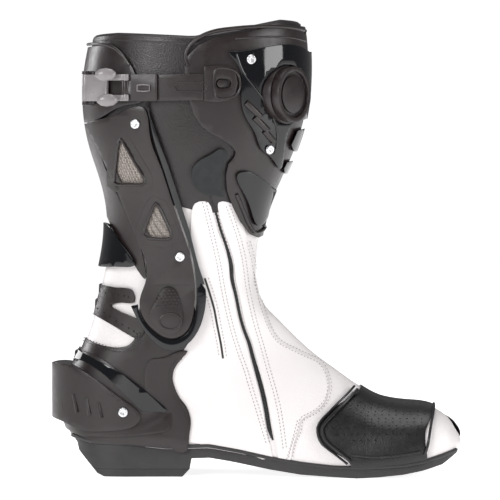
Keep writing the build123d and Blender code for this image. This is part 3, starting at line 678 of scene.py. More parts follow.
@dataclass
class Panel:
    """A sheet cut to an outline and laid over the form.

    Attributes:
        outline: Its outline (x, z) in millimetres, seen from the side.
        low: Underside's height over the leather in millimetres.
        high: Top's height over the leather in millimetres.
        side: The side of the boot it is on.
        edge: Radius of its rounded rim in millimetres.
        pitch: Mesh size in millimetres.
    """

    outline: Sequence[Point2]
    low: float
    high: float
    side: Side = Side.MEDIAL
    edge: float = 0.4
    pitch: float = 4.0

    def build(self, form: Form) -> bmesh.types.BMesh:
        """Makes the panel's mesh.

        Args:
            form: The body it lies on.

        Returns:
            A closed mesh.
        """
        bm = bmesh.new()
        loop = [bm.verts.new((x * MM, 0, z * MM)) for x, z in self.outline]
        bm.faces.new(loop)
        self.grid(bm)
        under: dict[bmesh.types.BMVert, Vector] = {}
        for vert in bm.verts:
            hit, normal = form.touch(vert.co.x / MM, vert.co.z / MM, self.side)
            vert.co = hit + normal * self.high * MM
            under[vert] = hit + normal * self.low * MM
        edges = [e for e in bm.edges if len(e.link_faces) == 1]
        copied = bmesh.ops.duplicate(bm, geom=bm.verts[:] + bm.edges[:] + bm.faces[:])
        for vert, place in under.items():
            copied["vert_map"][vert].co = place
        lower = [e for e in copied["geom"] if isinstance(e, bmesh.types.BMEdge)
                 and len(e.link_faces) == 1]
        bmesh.ops.bridge_loops(bm, edges=edges + lower)
        bmesh.ops.recalc_face_normals(bm, faces=bm.faces)
        bmesh.ops.bevel(bm, geom=edges, offset=self.edge * MM, offset_type="OFFSET", segments=3,
                        profile=0.5, affect="EDGES", clamp_overlap=True, material=-1)
        return bm

    def grid(self, bm: bmesh.types.BMesh) -> None:
        """Cuts the flat outline into a fine grid.

        Args:
            bm: The flat mesh.
        """
        xs = [p[0] for p in self.outline]
        zs = [p[1] for p in self.outline]
        for low, high, axis in ((min(xs), max(xs), (1, 0, 0)), (min(zs), max(zs), (0, 0, 1))):
            for k in range(1, int((high - low) / self.pitch) + 1):
                at = (low + k * self.pitch) * MM
                everything = bm.verts[:] + bm.edges[:] + bm.faces[:]
                bmesh.ops.bisect_plane(bm, geom=everything, dist=1e-7,
                                       plane_co=(at * axis[0], 0, at * axis[2]), plane_no=axis)


@dataclass
class Stitching:
    """Rows of stitches sunk into a seam.

    Attributes:
        rows: Paths (x, z) in millimetres.
        length: Length of a stitch in millimetres.
        gap: Space between two stitches in millimetres.
        radius: Thread radius in millimetres.
        lift: Height over the leather in millimetres.
    """

    rows: Sequence[Sequence[Point2]]
    length: float = 1.7
    gap: float = 0.9
    radius: float = 0.32
    lift: float = 0.12

    def build(self, form: Form) -> bmesh.types.BMesh:
        """Makes every stitch of every row.

        Args:
            form: The body they follow.

        Returns:
            One mesh of small rounded stitches.
        """
        total = bmesh.new()
        for row in self.rows:
            part = bmesh.new()
            path = resample(smooth(row, closed=False), self.length + self.gap)
            for (x0, z0), (x1, z1) in zip(path, path[1:]):
                a, b = form.drop(x0, z0, self.lift), form.drop(x1, z1, self.lift)
                run = b - a
                if run.length < 0.0005 or run.length > 0.006:
                    continue
                turn = run.to_track_quat("X", "Z").to_matrix().to_4x4()
                size = Matrix.Diagonal((self.length * MM / 2, self.radius * MM,
                                        self.radius * MM, 1))
                place = Matrix.Translation((a + b) / 2) @ turn @ size
                bmesh.ops.create_uvsphere(part, u_segments=6, v_segments=4, radius=1.0,
                                          matrix=place)
            mesh = bpy.data.meshes.new("row")
            part.to_mesh(mesh)
            part.free()
            total.from_mesh(mesh)
            bpy.data.meshes.remove(mesh)
        return total


def beside(path: Sequence[Point2], offset: float) -> list[Point2]:
    """A path parallel to another.

    Args:
        path: An open path.
        offset: Distance to its left in millimetres.

    Returns:
        The parallel path.
    """
    p = np.array(path, float)
    d = np.gradient(p, axis=0)
    d /= np.linalg.norm(d, axis=1)[:, None] + 1e-9
    return [(float(a[0] - b[1] * offset), float(a[1] + b[0] * offset)) for a, b in zip(p, d)]


def tube(path: Sequence[Vector], radius: float, around: int = 8,
         closed: bool = False) -> bmesh.types.BMesh:
    """A round bar along a path.

    Args:
        path: Points in metres.
        radius: Radius in metres.
        around: Points round the bar.
        closed: Whether the path returns to its start.

    Returns:
        A mesh, closed at its ends.
    """
    bm = bmesh.new()
    rings: list[list[bmesh.types.BMEdge]] = []
    count = len(path)
    for k, point in enumerate(path):
        after = path[(k + 1) % count] if closed or k + 1 < count else point
        before = path[k - 1] if closed or k else point
        turn = (after - before).to_track_quat("Z", "Y").to_matrix().to_4x4()
        made = bmesh.ops.create_circle(bm, segments=around, radius=radius, cap_ends=False,
                                       matrix=Matrix.Translation(point) @ turn)["verts"]
        rings.append(list({e for v in made for e in v.link_edges}))
    pairs = list(zip(rings, rings[1:]))
    if closed:
        pairs.append((rings[-1], rings[0]))
    for a, b in pairs:
        bmesh.ops.bridge_loops(bm, edges=a + b)
    if not closed:
        bmesh.ops.holes_fill(bm, edges=bm.edges, sides=around)
    return bm


# ------------------------------------------------------------------------- sub-assemblies


def thickened(bm: bmesh.types.BMesh, thickness: float, rounding: float) -> bmesh.types.BMesh:
    """Gives an open surface a thickness inwards and rounds its rims.

    Args:
        bm: The outer surface.
        thickness: Millimetres inwards.
        rounding: Radius of the rims in millimetres.

    Returns:
        The same mesh, closed.
    """
    bmesh.ops.recalc_face_normals(bm, faces=bm.faces)
    centre = sum((v.co for v in bm.verts), Vector()) / len(bm.verts)
    side = sum(f.normal.y * (f.calc_center_median().y - centre.y) for f in bm.faces)
    if side < 0:
        bmesh.ops.reverse_faces(bm, faces=bm.faces)
    bmesh.ops.solidify(bm, geom=list(bm.faces), thickness=thickness * MM)
    bmesh.ops.recalc_face_normals(bm, faces=bm.faces)
    crisp = [e for e in bm.edges if len(e.link_faces) == 2
             and e.calc_face_angle(0.0) > RIM_FOLD]
    bmesh.ops.bevel(bm, geom=crisp, offset=rounding * MM, offset_type="OFFSET", segments=3,
                    profile=0.5, affect="EDGES", clamp_overlap=True, material=-1)
    return bm


@dataclass
class Uppers:
    """The sewn leather of foot and leg, with its seams.

    Attributes:
        split: Height where white leather passes under black, in millimetres.
        overlap: How far the black leather reaches over the white.
        bend_low: Where the bending zone of the ankle starts; not used.
        bend_high: Where it ends; not used.
    """

    split: float = 209.0
    overlap: float = 6.0
    bend_low: Vector = field(default_factory=lambda: Vector((0.021, 0.0, 0.098)))
    bend_high: Vector = field(default_factory=lambda: Vector((0.021, 0.0, 0.172)))

    def build(self, form: Form) -> None:
        """Makes the leathers, overlays, seams and stitches.

        Args:
            form: The body they follow.
        """
        self.white(form)
        self.black(form)
        self.overlays(form)
        self.stitches(form)
        self.slit(form)

    def bend(self, obj: bpy.types.Object) -> None:
        """Bakes a piece's placement into its mesh.

        Args:
            obj: The piece.
        """
        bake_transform(obj)

    def white(self, form: Form) -> None:
        """The white leather from the shin down to the toe.

        Args:
            form: The body they follow.
        """
        skin = form.tailored(lambda x: self.split, None, -0.1, 190, 176)
        skin = thickened(skin, LEATHER, 0.5)
        obj = publish("white_upper", skin, WHITE_LEATHER, None,
                      ("foot_upper", "ankle_gusset", "leg_lower"))
        self.bend(obj)

    def black(self, form: Form) -> None:
        """The black leather of the calf.

        Args:
            form: The body they follow.
        """
        skin = form.tailored(lambda x: along(RIM, x) - 1.0,
                             lambda x: self.split - self.overlap + 3.0 * math.sin(x * 0.09),
                             0.35, 60, 176)
        skin = thickened(skin, LEATHER, 0.6)
        publish("calf_leather", skin, BLACK_LEATHER, "shaft", ("leg_shell",))

    def overlays(self, form: Form) -> None:
        """The raised quarter panels on both sides of the zip.

        Args:
            form: The body they follow.
        """
        for name, outline in (("quarter_front", QUARTER_FRONT), ("quarter_rear", QUARTER_REAR)):
            panel = Panel(smooth(outline, step=3.0), -0.3, 1.0, edge=0.45, pitch=4.0)
            obj = publish(name, panel.build(form), WHITE_LEATHER, None)
            self.bend(obj)
        panel = Panel(smooth(QUARTER_OUTER, step=3.0), -0.3, 1.0, Side.LATERAL, 0.45, 4.0)
        obj = publish("quarter_outer", panel.build(form), WHITE_LEATHER, None)
        self.bend(obj)

    def stitches(self, form: Form) -> None:
        """Double rows of stitching along every seam.

        Args:
            form: The body they follow.
        """
        rows: list[list[Point2]] = []
        for path in (ROW_REAR, ROW_FRONT, ROW_VAMP):
            rows.append(list(path))
            rows.append(beside(path, 2.6))
        rows += [beside(SLIT, 2.8), beside(SLIT, -2.8), list(CREASE)]
        stitching = Stitching(rows, lift=1.05)
        self.bend(publish("seam_stitches", stitching.build(form), THREAD, None))

    def slit(self, form: Form) -> None:
        """The dark folded slit of the gusset beside the zip.

        Args:
            form: The body they follow.
        """
        path = smooth(SLIT, closed=False)
        ribbon = beside(path, 0.8) + beside(path, -0.8)[::-1]
        panel = Panel(ribbon, 0.2, 1.12, edge=0.15, pitch=6.0)
        self.bend(publish("gusset_slit", panel.build(form), DARK_THREAD, None))


@dataclass
class ZipFastener:
    """The side zip: two tapes, its teeth and the slider.

    Attributes:
        pitch: Spacing of the teeth in millimetres.
        tooth: Half size of a tooth across, along and up, in millimetres.
        tape: Greatest half width of the tape between the leather edges, in millimetres.
        profile: Where along the zip it is how wide, both as shares.
    """

    pitch: float = 1.5
    tooth: tuple[float, float, float] = (0.8, 0.4, 0.4)
    tape: float = 1.5
    profile: tuple[tuple[float, ...], tuple[float, ...]] = (
        (0.0, 0.2, 0.3, 0.4, 0.55, 0.75, 0.95, 1.0), (0.5, 0.6, 1.0, 0.7, 0.7, 1.1, 1.1, 0.4))

    def build(self, form: Form, frame: dict, uppers: Uppers) -> None:
        """Makes the zip.

        Args:
            form: The body it follows.
            uppers: The leather it is sewn to.
        """
        path = smooth(ZIP, closed=False)
        widths = np.interp(np.linspace(0, 1, len(path)), *self.profile)
        left, right = ([beside(path, sign * self.tape * w)[k] for k, w in enumerate(widths)]
                       for sign in (1, -1))
        tape = Panel(left + right[::-1], -0.2, 0.25, edge=0.1, pitch=6.0).build(form)
        uppers.bend(publish("zip_tape", tape, STRETCH, None, ("zip_lower", "zip_upper")))
        bm = bmesh.new()
        even = resample(path, self.pitch)
        for k, ((x0, z0), (x1, z1)) in enumerate(zip(even, even[1:])):
            a, b = form.drop(x0, z0, 0.55), form.drop(x1, z1, 0.55)
            normal = form.touch(x0, z0)[1]
            run = (b - a).normalized()
            across = run.cross(normal).normalized()
            turn = Matrix((across, run, across.cross(run))).transposed().to_4x4()
            shift = across * (0.4 if k % 2 else -0.4) * MM
            size = Matrix.Diagonal((*(s * MM * 2 for s in self.tooth), 1))
            bmesh.ops.create_cube(bm, size=1.0, matrix=Matrix.Translation(a + shift) @ turn @ size)
        uppers.bend(publish("zip_teeth", bm, RUBBER, None))
        Reworked("zip_slider", "slider", STEEL, 0.3).build(frame)


@dataclass
class Collar:
    """The padded roll round the leg opening and the soft lining.

    Attributes:
        radius: Radius of the roll in millimetres.
        sink: How far the roll's centre is inside the leather's face.
        lining_low: Height where the leg's lining ends in millimetres.
    """

    radius: float = 5.2
    sink: float = 4.6
    lining_low: float = 158.0

    def build(self, form: Form) -> None:
        """Makes the roll and the linings.

        Args:
            form: The body they follow.
        """
        path = []
        for k in range(120):
            turn = math.tau * k / 120
            t = form.level(turn, lambda x: along(RIM, x) - self.radius + 0.6, -self.sink)
            path.append(form.point(t, turn, -self.sink))
        roll = tube(path, self.radius * MM, 14, closed=True)
        obj = publish("collar_roll", roll, BLACK_LEATHER, "shaft", ("collar",))
        liner = form.tailored(lambda x: along(RIM, x) - 4.0, lambda x: self.lining_low,
                              -4.8, 50, 128)
        obj = publish("leg_lining", thickened(liner, 2.0, 0.4), LINING, "shaft", ("leg_liner",))


@dataclass
class HardParts:
    """Every moulded or metal part of one area.

    Attributes:
        body: The body they ride on.
        parts: Node, finish and edge radius in millimetres.
    """

    body: str
    parts: Sequence[tuple[str, Finish, float]]

    def build(self, frame: dict) -> None:
        """Makes the parts.
        """
        for node, finish, edge in self.parts:
            Reworked(node, self.body, finish, edge).build(frame)


@dataclass
class Ridge:
    """A raised bead along a line over the form.

    Attributes:
        name: Name of the piece.
        path: Points (x, z) in millimetres.
        lift: Height over the leather in millimetres.
        radius: Radius of the bead in millimetres.
        finish: Its finish.
        body: The body it rides on.
        closed: Whether the line returns to its start.
        side: The side it is on.
    """

    name: str
    path: Sequence[Point2]
    lift: float
    radius: float
    finish: Finish
    body: str
    closed: bool = False
    side: Side = Side.MEDIAL

    def build(self, form: Form) -> bpy.types.Object:
        """Makes the bead.

        Args:
            form: The body it follows.

        Returns:
            The bead's object.
        """
        even = smooth(self.path, self.closed, 2.0)
        points = [form.drop(x, z, self.lift, self.side) for x, z in even]
        bm = tube(points, self.radius * MM, 8, self.closed)
        return publish(self.name, bm, self.finish, self.body)


@dataclass
class Studs:
    """Many small rounded dots on the form: perforations, knobs or rivets.

    Attributes:
        name: Name of the piece.
        spots: Their places (x, z) in millimetres.
        lift: Height of their centres over the leather in millimetres.
        size: Half sizes along, up and out in millimetres.
        finish: Their finish.
        body: The body they ride on.
        side: The side they are on.
        level: A flat face's y in metres, used instead of the form.
    """

    name: str
    spots: Sequence[Point2]
    lift: float
    size: tuple[float, float, float]
    finish: Finish
    body: str
    side: Side = Side.MEDIAL
    level: float | None = None

    def build(self, form: Form) -> bpy.types.Object:
        """Makes the dots as one mesh.

        Args:
            form: The body they follow.

        Returns:
            The dots' object.
        """
        bm = bmesh.new()
        for x, z in self.spots:
            if self.level is None:
                at, normal = form.touch(x, z, self.side)
                at = at + normal * self.lift * MM
            else:
                at, normal = Vector((x * MM, self.level, z * MM)), Vector((0, self.side.value, 0))
            turn = normal.to_track_quat("Z", "Y").to_matrix().to_4x4()
            size = Matrix.Diagonal((*(v * MM for v in self.size), 1))
            bmesh.ops.create_uvsphere(bm, u_segments=10, v_segments=6, radius=1.0,
                                      matrix=Matrix.Translation(at) @ turn @ size)
        return publish(self.name, bm, self.finish, self.body)


def scatter(outline: Sequence[Point2], pitch: float, inset: float) -> list[Point2]:
    """Evenly staggered spots inside an outline.

    Args:
        outline: A closed outline.
        pitch: Spacing in millimetres.
        inset: Least distance from the outline.

    Returns:
        The spots.
    """
    poly = np.array(outline, float)
    spots: list[Point2] = []
    rows = np.arange(poly[:, 1].min(), poly[:, 1].max(), pitch * 0.87)
    for k, z in enumerate(rows):
        for x in np.arange(poly[:, 0].min() + (k % 2) * pitch / 2, poly[:, 0].max(), pitch):
            nearest = float(np.min(np.hypot(poly[:, 0] - x, poly[:, 1] - z)))
            if nearest > inset and encloses(poly, float(x), float(z)):
                spots.append((float(x), float(z)))
    return spots


def encloses(poly: np.ndarray, x: float, z: float) -> bool:
    """Whether an outline has a point inside.

    Args:
        poly: The outline's points.
        x: Along.
        z: Up.

    Returns:
        True inside.
    """
    a, b = poly, np.roll(poly, -1, axis=0)
    spans = (a[:, 1] > z) != (b[:, 1] > z)
    cut = (b[:, 0] - a[:, 0]) * (z - a[:, 1]) / (b[:, 1] - a[:, 1] + 1e-9) + a[:, 0]
    return bool(np.sum(spans & (x < cut)) % 2)


def band(form: Form, outline: Sequence[Point2], width: float, low: float, high: float,
         side: Side) -> bmesh.types.BMesh:
    """A flat ring round an outline on the form.

    Args:
        form: The body it follows.
        outline: The ring's inner edge, closed.
        width: Width of the ring in millimetres.
        low: Underside's height over the leather.
        high: Top's height over the leather.
        side: The side it is on.

    Returns:
        A closed mesh.
    """
    inner = np.array(outline, float)
    run = np.roll(inner, -1, axis=0) - np.roll(inner, 1, axis=0)
    run /= np.linalg.norm(run, axis=1)[:, None] + 1e-9
    away = np.stack([run[:, 1], -run[:, 0]], axis=1)
    if float(np.sum((inner - inner.mean(axis=0)) * away)) < 0:
        away = -away
    bm = bmesh.new()
    rings: list[list[bmesh.types.BMEdge]] = []
    for share, lift in ((0.0, low), (0.0, high - 0.4), (0.08, high), (0.9, high), (1.0, low)):
        made = bmesh.ops.create_circle(bm, segments=len(inner), radius=1.0)["verts"]
        for vert, (x, z) in zip(made, inner + away * width * share):
            vert.co = form.drop(float(x), float(z), lift, side)
        rings.append(list({e for v in made for e in v.link_edges}))
    for a, b in zip(rings, rings[1:] + rings[:1]):
        bmesh.ops.bridge_loops(bm, edges=a + b)
    return bm


@dataclass
class Trims:
    """Raised rims, perforations and inlays on the hard parts.

    Attributes:
        plate: Height of the plate layer over the leather in millimetres.
        armour: Height of the armour layer over the leather in millimetres.
    """

    plate: float = 3.4
    armour: float = 6.2

    def build(self, form: Form) -> None:
        """Makes the trims.

        Args:
            form: The body they follow.
        """
        self.windows(form)
        self.heel(form)
        self.toe(form)
        self.ankle(form)
        self.calf(form)
        self.buckle(form)
        self.strap(form)
        self.welt(form)

    def windows(self, form: Form) -> None:
        """Woven inlays and their raised frames, on both sides.

        Args:
            form: The body they follow.
        """
        for side in Side:
            for level, path in (("high", WINDOW_HIGH), ("low", WINDOW_LOW)):
                tag = f"{level}_{side.name.lower()}"
                Ridge(f"window_frame_{tag}", path, self.armour + 0.1, 1.15, MATT, "shaft", True,
                      side).build(form)
                around = band(form, smooth(path, step=2.0), 6.5, 4.0, self.armour + 0.12, side)
                publish(f"window_surround_{tag}", around, MATT, "shaft")
                inlay = Panel(smooth(path, step=2.0), 3.7, 4.6, side, 0.2, 3.0)
                publish(f"window_mesh_{tag}", inlay.build(form), MESH_CLOTH, "shaft")

    def heel(self, form: Form) -> None:
        """Raised bars, gloss bands, perforated flex pieces, front flange and stitching of the heel.

        Args:
            form: The body they follow.
        """
        for k, path in enumerate(HEEL_SLOTS):
            Ridge(f"heel_bar_{k}", path, self.armour - 0.2, 1.5, MATT, "foot").build(form)
        for side in Side:
            tag = side.name.lower()
            band = Panel(smooth(HEEL_BAND, step=2.5), 3.3, 4.6, side, 0.5, 3.5)
            publish(f"heel_band_{tag}", band.build(form), GLOSS, "foot", ("heel_gloss",))
            flex = Panel(smooth(ACHILLES, step=2.0), 0.0, 2.4, side, 0.7, 3.0)
            publish(f"achilles_{tag}", flex.build(form), MATT, "foot", ("achilles_flex",))
            Studs(f"achilles_holes_{tag}", ACHILLES_HOLES, 2.4, (0.75, 0.75, 0.2), PIERCED,
                  "foot", side).build(form)
        flange = Panel(smooth(FRAME_FLANGE, step=2.5), 0.3, 2.9, edge=0.6, pitch=3.5)
        publish("frame_flange", flange.build(form), MATT, "foot")
        rows = Stitching([FLANGE_ROW, beside(FLANGE_ROW, 2.2)], 1.5, 0.8, 0.35, 2.95)
        publish("frame_stitches", rows.build(form), DARK_THREAD, "foot")
        lip = Stitching([FRAME_LIP, beside(FRAME_LIP, -2.2)], 1.5, 0.8, 0.35, self.plate + 0.05)
        publish("frame_lip_stitches", lip.build(form), DARK_THREAD, "foot")

    def toe(self, form: Form) -> None:
        """Double rim, perforations and crease of the toe pad.

        Args:
            form: The body they follow.
        """
        Ridge("toe_rim_outer", TOE_RIM, self.plate, 1.3, PAD_LEATHER, "foot").build(form)
        inner = beside(smooth(TOE_RIM, closed=False), -3.4)
        Ridge("toe_rim_inner", inner, self.plate - 0.2, 0.9, PAD_LEATHER, "foot").build(form)
        Ridge("toe_rim_front", TOE_FRONT, self.plate - 0.1, 1.1, PAD_LEATHER, "foot").build(form)
        Ridge("toe_crease", TOE_CREASE, self.plate - 0.2, 0.8, PAD_LEATHER, "foot").build(form)
        holes = scatter(TOE_FIELD, 5.4, 3.0)
        Studs("toe_holes", holes, self.plate, (0.62, 0.62, 0.12), PIERCED, "foot").build(form)

    def ankle(self, form: Form) -> None:
        """Knobs and oval badge on the ankle pads.

        Args:
            form: The body they follow.
        """
        low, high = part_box("ankle_pads")
        for side, face in ((Side.MEDIAL, low[1]), (Side.LATERAL, high[1])):
            knobs = scatter(PAD_FIELD, 2.7, 1.4)
            Studs(f"pad_knobs_{side.name.lower()}", knobs, 0, (1.0, 0.75, 0.55), MATT, "shaft",
                  side, face).build(form)
            badge = [Vector(((21 + 8.2 * math.cos(a)) * MM, face, (118.5 + 6.0 * math.sin(a)) * MM))
                     for a in np.linspace(0, math.tau, 40, endpoint=False)]
            publish(f"pad_badge_{side.name.lower()}", tube(badge, 0.7 * MM, 8, closed=True),
                    MATT, "shaft")

    def calf(self, form: Form) -> None:
        """Lips and grooves of the cuff, the strip and the shin flap.

        Args:
            form: The body they follow.
        """
        Ridge("cuff_lip", CUFF_LIP, self.armour - 2.6, 1.2, MATT, "shaft").build(form)
        Ridge("flap_edge", FLAP_EDGE, self.plate, 1.5, MATT, "flap").build(form)
        Ridge("flap_groove", FLAP_GROOVE, self.plate, 0.8, SHEEN_LEATHER, "flap").build(form)
        Ridge("gloss_bead", GLOSS_BEAD, self.armour - 0.2, 0.9, GLOSS, "flap").build(form)
        Ridge("window_lip", WINDOW_LIP, self.plate + 0.1, 1.5, MATT, "flap").build(form)

    def buckle(self, form: Form) -> None:
        """Rounded lobes of the lever and the raised lines of the strap.

        Args:
            form: The body they follow.
        """
        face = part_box("lever")[0][1] + 1.0 * MM
        Studs("lever_lobes", LOBES, 0, (8.2, 4.9, 2.6), GREY, "lever", level=face).build(form)
        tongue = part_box("tongue")[0][1]
        window = [Vector((x * MM, tongue, z * MM)) for x, z in TONGUE_WINDOW]
        publish("tongue_window", tube(window, 0.5 * MM, 6, closed=True), GREY, "strap")

    def strap(self, form: Form) -> None:
        """Sunk outline of the strap and the rolled edge of its clip.

        Args:
            form: The body they follow.
        """
        Ridge("strap_line", STRAP_LINE, self.armour, 0.45, MATT, "strap", True).build(form)
        Ridge("clip_edge", CLIP_EDGE, self.armour - 0.2, 1.0, MATT, "strap", True).build(form)

    def welt(self, form: Form) -> None:
        """Rubber bead where the leather meets the sole.

        Args:
            form: The body they follow.
        """
        for side in Side:
            path = [(x, along(SOLE_TOP, x) + 0.9) for x in np.linspace(-54, 236, 60)]
            Ridge(f"welt_{side.name.lower()}", path, 0.6, 1.5, RUBBER, "foot", False,
                  side).build(form)


@dataclass
class Studio:
    """Floor, lights and camera.

    Attributes:
        target: What the camera looks at.
        width: Width of the view in metres.
        distance: Camera distance in metres.
        rise: Camera elevation in degrees.
        fill: Strength of the light from all round.
    """

    target: tuple[float, float, float] = (0.0807, 0.0, 0.1706)
    width: float = 0.3825
    distance: float = 2.6
    rise: float = 2.0
    fill: float = 0.2

    def build(self) -> None:
        """Makes the set."""
        floor = bmesh.new()
        bmesh.ops.create_grid(floor, x_segments=1, y_segments=1, size=4.0)
        mesh = bpy.data.meshes.new("floor")
        floor.to_mesh(mesh)
        floor.free()
        mesh.materials.append(FLOOR.build())
        obj = bpy.data.objects.new("floor", mesh)
        bpy.context.scene.collection.objects.link(obj)
        self.light("key", (-0.9, -1.5, 0.9), 0.8, 18.5)
        self.light("front", (1.6, -0.8, 0.6), 0.7, 11.0)
        self.light("top", (0.1, -0.1, 1.9), 1.4, 17.0)
        self.light("back", (-1.4, 0.9, 0.7), 0.7, 11.0)
        bpy.context.scene.view_settings.view_transform = "Standard"
        self.world()
        self.camera()

    def light(self, name: str, place: tuple[float, float, float], size: float,
              power: float) -> None:
        """Adds a soft light aimed at the boot.

        Args:
            name: Its name.
            place: Where it stands.
            size: Edge of its square in metres.
            power: Watts.
        """
        data = bpy.data.lights.new(name, "AREA")
        data.size = size
        data.energy = power
        obj = bpy.data.objects.new(name, data)
        obj.location = place
        look = Vector(self.target) - Vector(place)
        obj.rotation_euler = look.to_track_quat("-Z", "Y").to_euler()
        bpy.context.scene.collection.objects.link(obj)

    def world(self) -> None:
        """Sets the pale surroundings."""
        world = bpy.data.worlds.new("studio")
        world.use_nodes = True
        tree = world.node_tree
        back = tree.nodes["Background"]
        back.inputs["Color"].default_value = (1.0, 1.0, 1.0, 1)
        rays = tree.nodes.new("ShaderNodeLightPath")
        level = tree.nodes.new("ShaderNodeMapRange")
        level.inputs["To Min"].default_value = self.fill
        level.inputs["To Max"].default_value = 1.02
        tree.links.new(rays.outputs["Is Camera Ray"], level.inputs["Value"])
        tree.links.new(level.outputs["Result"], back.inputs["Strength"])
        bpy.context.scene.world = world

    def camera(self) -> None:
        """Places the camera level with the boot's medial side."""
        data = bpy.data.cameras.new("camera")
        data.sensor_width = 36.0
        data.lens = 36.0 * self.distance / self.width
        obj = bpy.data.objects.new("camera", data)
        rise = math.radians(self.rise)
        offset = Vector((0, -math.cos(rise), math.sin(rise))) * self.distance
        obj.location = Vector(self.target) + offset
        obj.rotation_euler = (-offset).to_track_quat("-Z", "Y").to_euler()
        bpy.context.scene.collection.objects.link(obj)
        bpy.context.scene.camera = obj


# ------------------------------------------------------------------------------ patterns

ZIP = [
    (50.9, 211.9), (54.7, 201.2), (58.5, 187.4), (63.1, 173.7), (66.2, 161.4), (67.2, 149.2),
    (70, 136.9), (73.1, 121.6), (76.1, 110.9), (79.9, 101), (83, 89.5), (86.1, 78.8),
    (89.9, 65), (92.9, 51.3), (95.5, 36), (98, 28.3),
]
SLIT = [
    (46.3, 150.7), (49.3, 141.5), (53.2, 127.8), (55.5, 115.5), (58.5, 100.2), (60.1, 89.5),
]
ROW_REAR = [
    (44.8, 208.8), (50.1, 185.9), (55.5, 161.4), (58.5, 143.1), (62.3, 124.7), (66.2, 109.4),
    (71.5, 92.6), (76.1, 80.3), (80.7, 65), (86.1, 48.2), (90.7, 32.9), (93.7, 23.7),
]
ROW_FRONT = [
    (62.3, 205.8), (66.9, 192), (71.5, 176.7), (74.6, 161.4), (76.9, 143.1), (80.7, 124.7),
    (85.3, 107.9), (89.1, 95.6), (92.9, 81.9), (97.5, 66.6), (101.4, 51.3), (103.7, 37.5),
    (106, 20.7),
]
ROW_VAMP = [
    (77.6, 178.2), (80.7, 164.5), (83.8, 147.6), (86.8, 132.3), (90.7, 120.1), (96, 107.9),
    (102.1, 100.2), (111.3, 94.9), (122, 89.5), (132.7, 84.2), (137.3, 77.3), (139.6, 69.6),
    (138.1, 60.4), (132.7, 52.8), (125.1, 48.2), (119, 45.1), (116.7, 36), (112.8, 26.8),
    (109.8, 14.5),
]
CREASE = [
    (116.7, 43.6), (113.6, 31.4), (110.5, 20.7), (108.2, 13),
]
QUARTER_FRONT = [
    (57, 208.1), (67.7, 206.6), (73.8, 195.1), (78.4, 179.8), (81.5, 166), (84.5, 149.2),
    (87.6, 134.6), (91.4, 121.6), (96.8, 109.4), (102.9, 101), (112.1, 95.6), (122.8, 90.3),
    (133.5, 84.9), (138.1, 78), (140.4, 69.6), (138.8, 60.4), (134.3, 52.8), (125.8, 47.4),
    (119.7, 43.6), (117.4, 35.2), (113.6, 25.2), (110.5, 12.2), (103.7, 11.5), (100.6, 25.2),
    (98.3, 36), (95.2, 51.3), (92.2, 65), (88.4, 78.8), (85.3, 89.5), (82.2, 101),
    (78.4, 110.9), (75.4, 121.6), (72.3, 136.9), (69.5, 149.2), (68.5, 161.4), (65.4, 173.7),
    (60.8, 187.4),
]
QUARTER_REAR = [
    (39.4, 207.3), (49.3, 208.1), (52.4, 200.4), (56.2, 186.7), (60.8, 172.9), (63.9, 160.7),
    (64.9, 148.4), (67.7, 136.2), (70.8, 120.9), (73.8, 110.2), (77.6, 100.2), (80.7, 88.7),
    (83.8, 78), (87.6, 64.3), (90.7, 50.5), (93.3, 35.2), (96.8, 20.7), (97.5, 12.2),
    (84.5, 16.1), (42.5, 25.2), (-11.1, 37.5), (-12.6, 71.1), (4.2, 101.7), (27.2, 132.3),
    (34.8, 162.9),
]
QUARTER_OUTER = [
    (42.5, 197.4), (70, 204.3), (78.4, 179.8), (83, 155.3), (89.9, 126.2), (105.2, 103.3),
    (126.6, 89.5), (138.1, 77.3), (138.8, 60.4), (120.5, 45.1), (112.8, 25.2), (109.8, 13),
    (42.5, 25.2), (-11.1, 37.5), (-12.6, 71.1), (4.2, 101.7), (27.2, 132.3), (34.8, 170.6),
]
WINDOW_HIGH = [
    (-13.4, 256.3), (-10.3, 251.7), (-3.4, 239.4), (3.4, 227.2), (4.2, 224.1), (1.9, 222.6),
    (-6.5, 222.6), (-14.9, 222.6), (-17.2, 224.1), (-17.2, 227.2), (-16.4, 239.4),
    (-14.9, 252.5),
]
WINDOW_LOW = [
    (11.9, 208.8), (14.2, 205), (18, 195.8), (21.8, 185.9), (21.8, 182.8), (19.5, 181.3),
    (12.6, 181.3), (5, 182.1), (2.7, 184.4), (3.4, 187.4), (6.5, 196.6), (10.3, 206.6),
]
TOE_RIM = [
    (161, 62.7), (152.6, 55.1), (143.4, 46.7), (135, 36.7), (138.1, 28.3), (147.3, 20.7),
    (156.4, 13.8),
]
HEEL_SLOTS = [
    [
    (-57.8, 64.3), (-56.2, 50.5),
],
    [
    (-49.3, 62), (-47, 48.2),
],
    [
    (-40.9, 58.9), (-38.6, 46.7),
],
    [
    (-32.5, 55.8), (-30.2, 45.1),
],
]

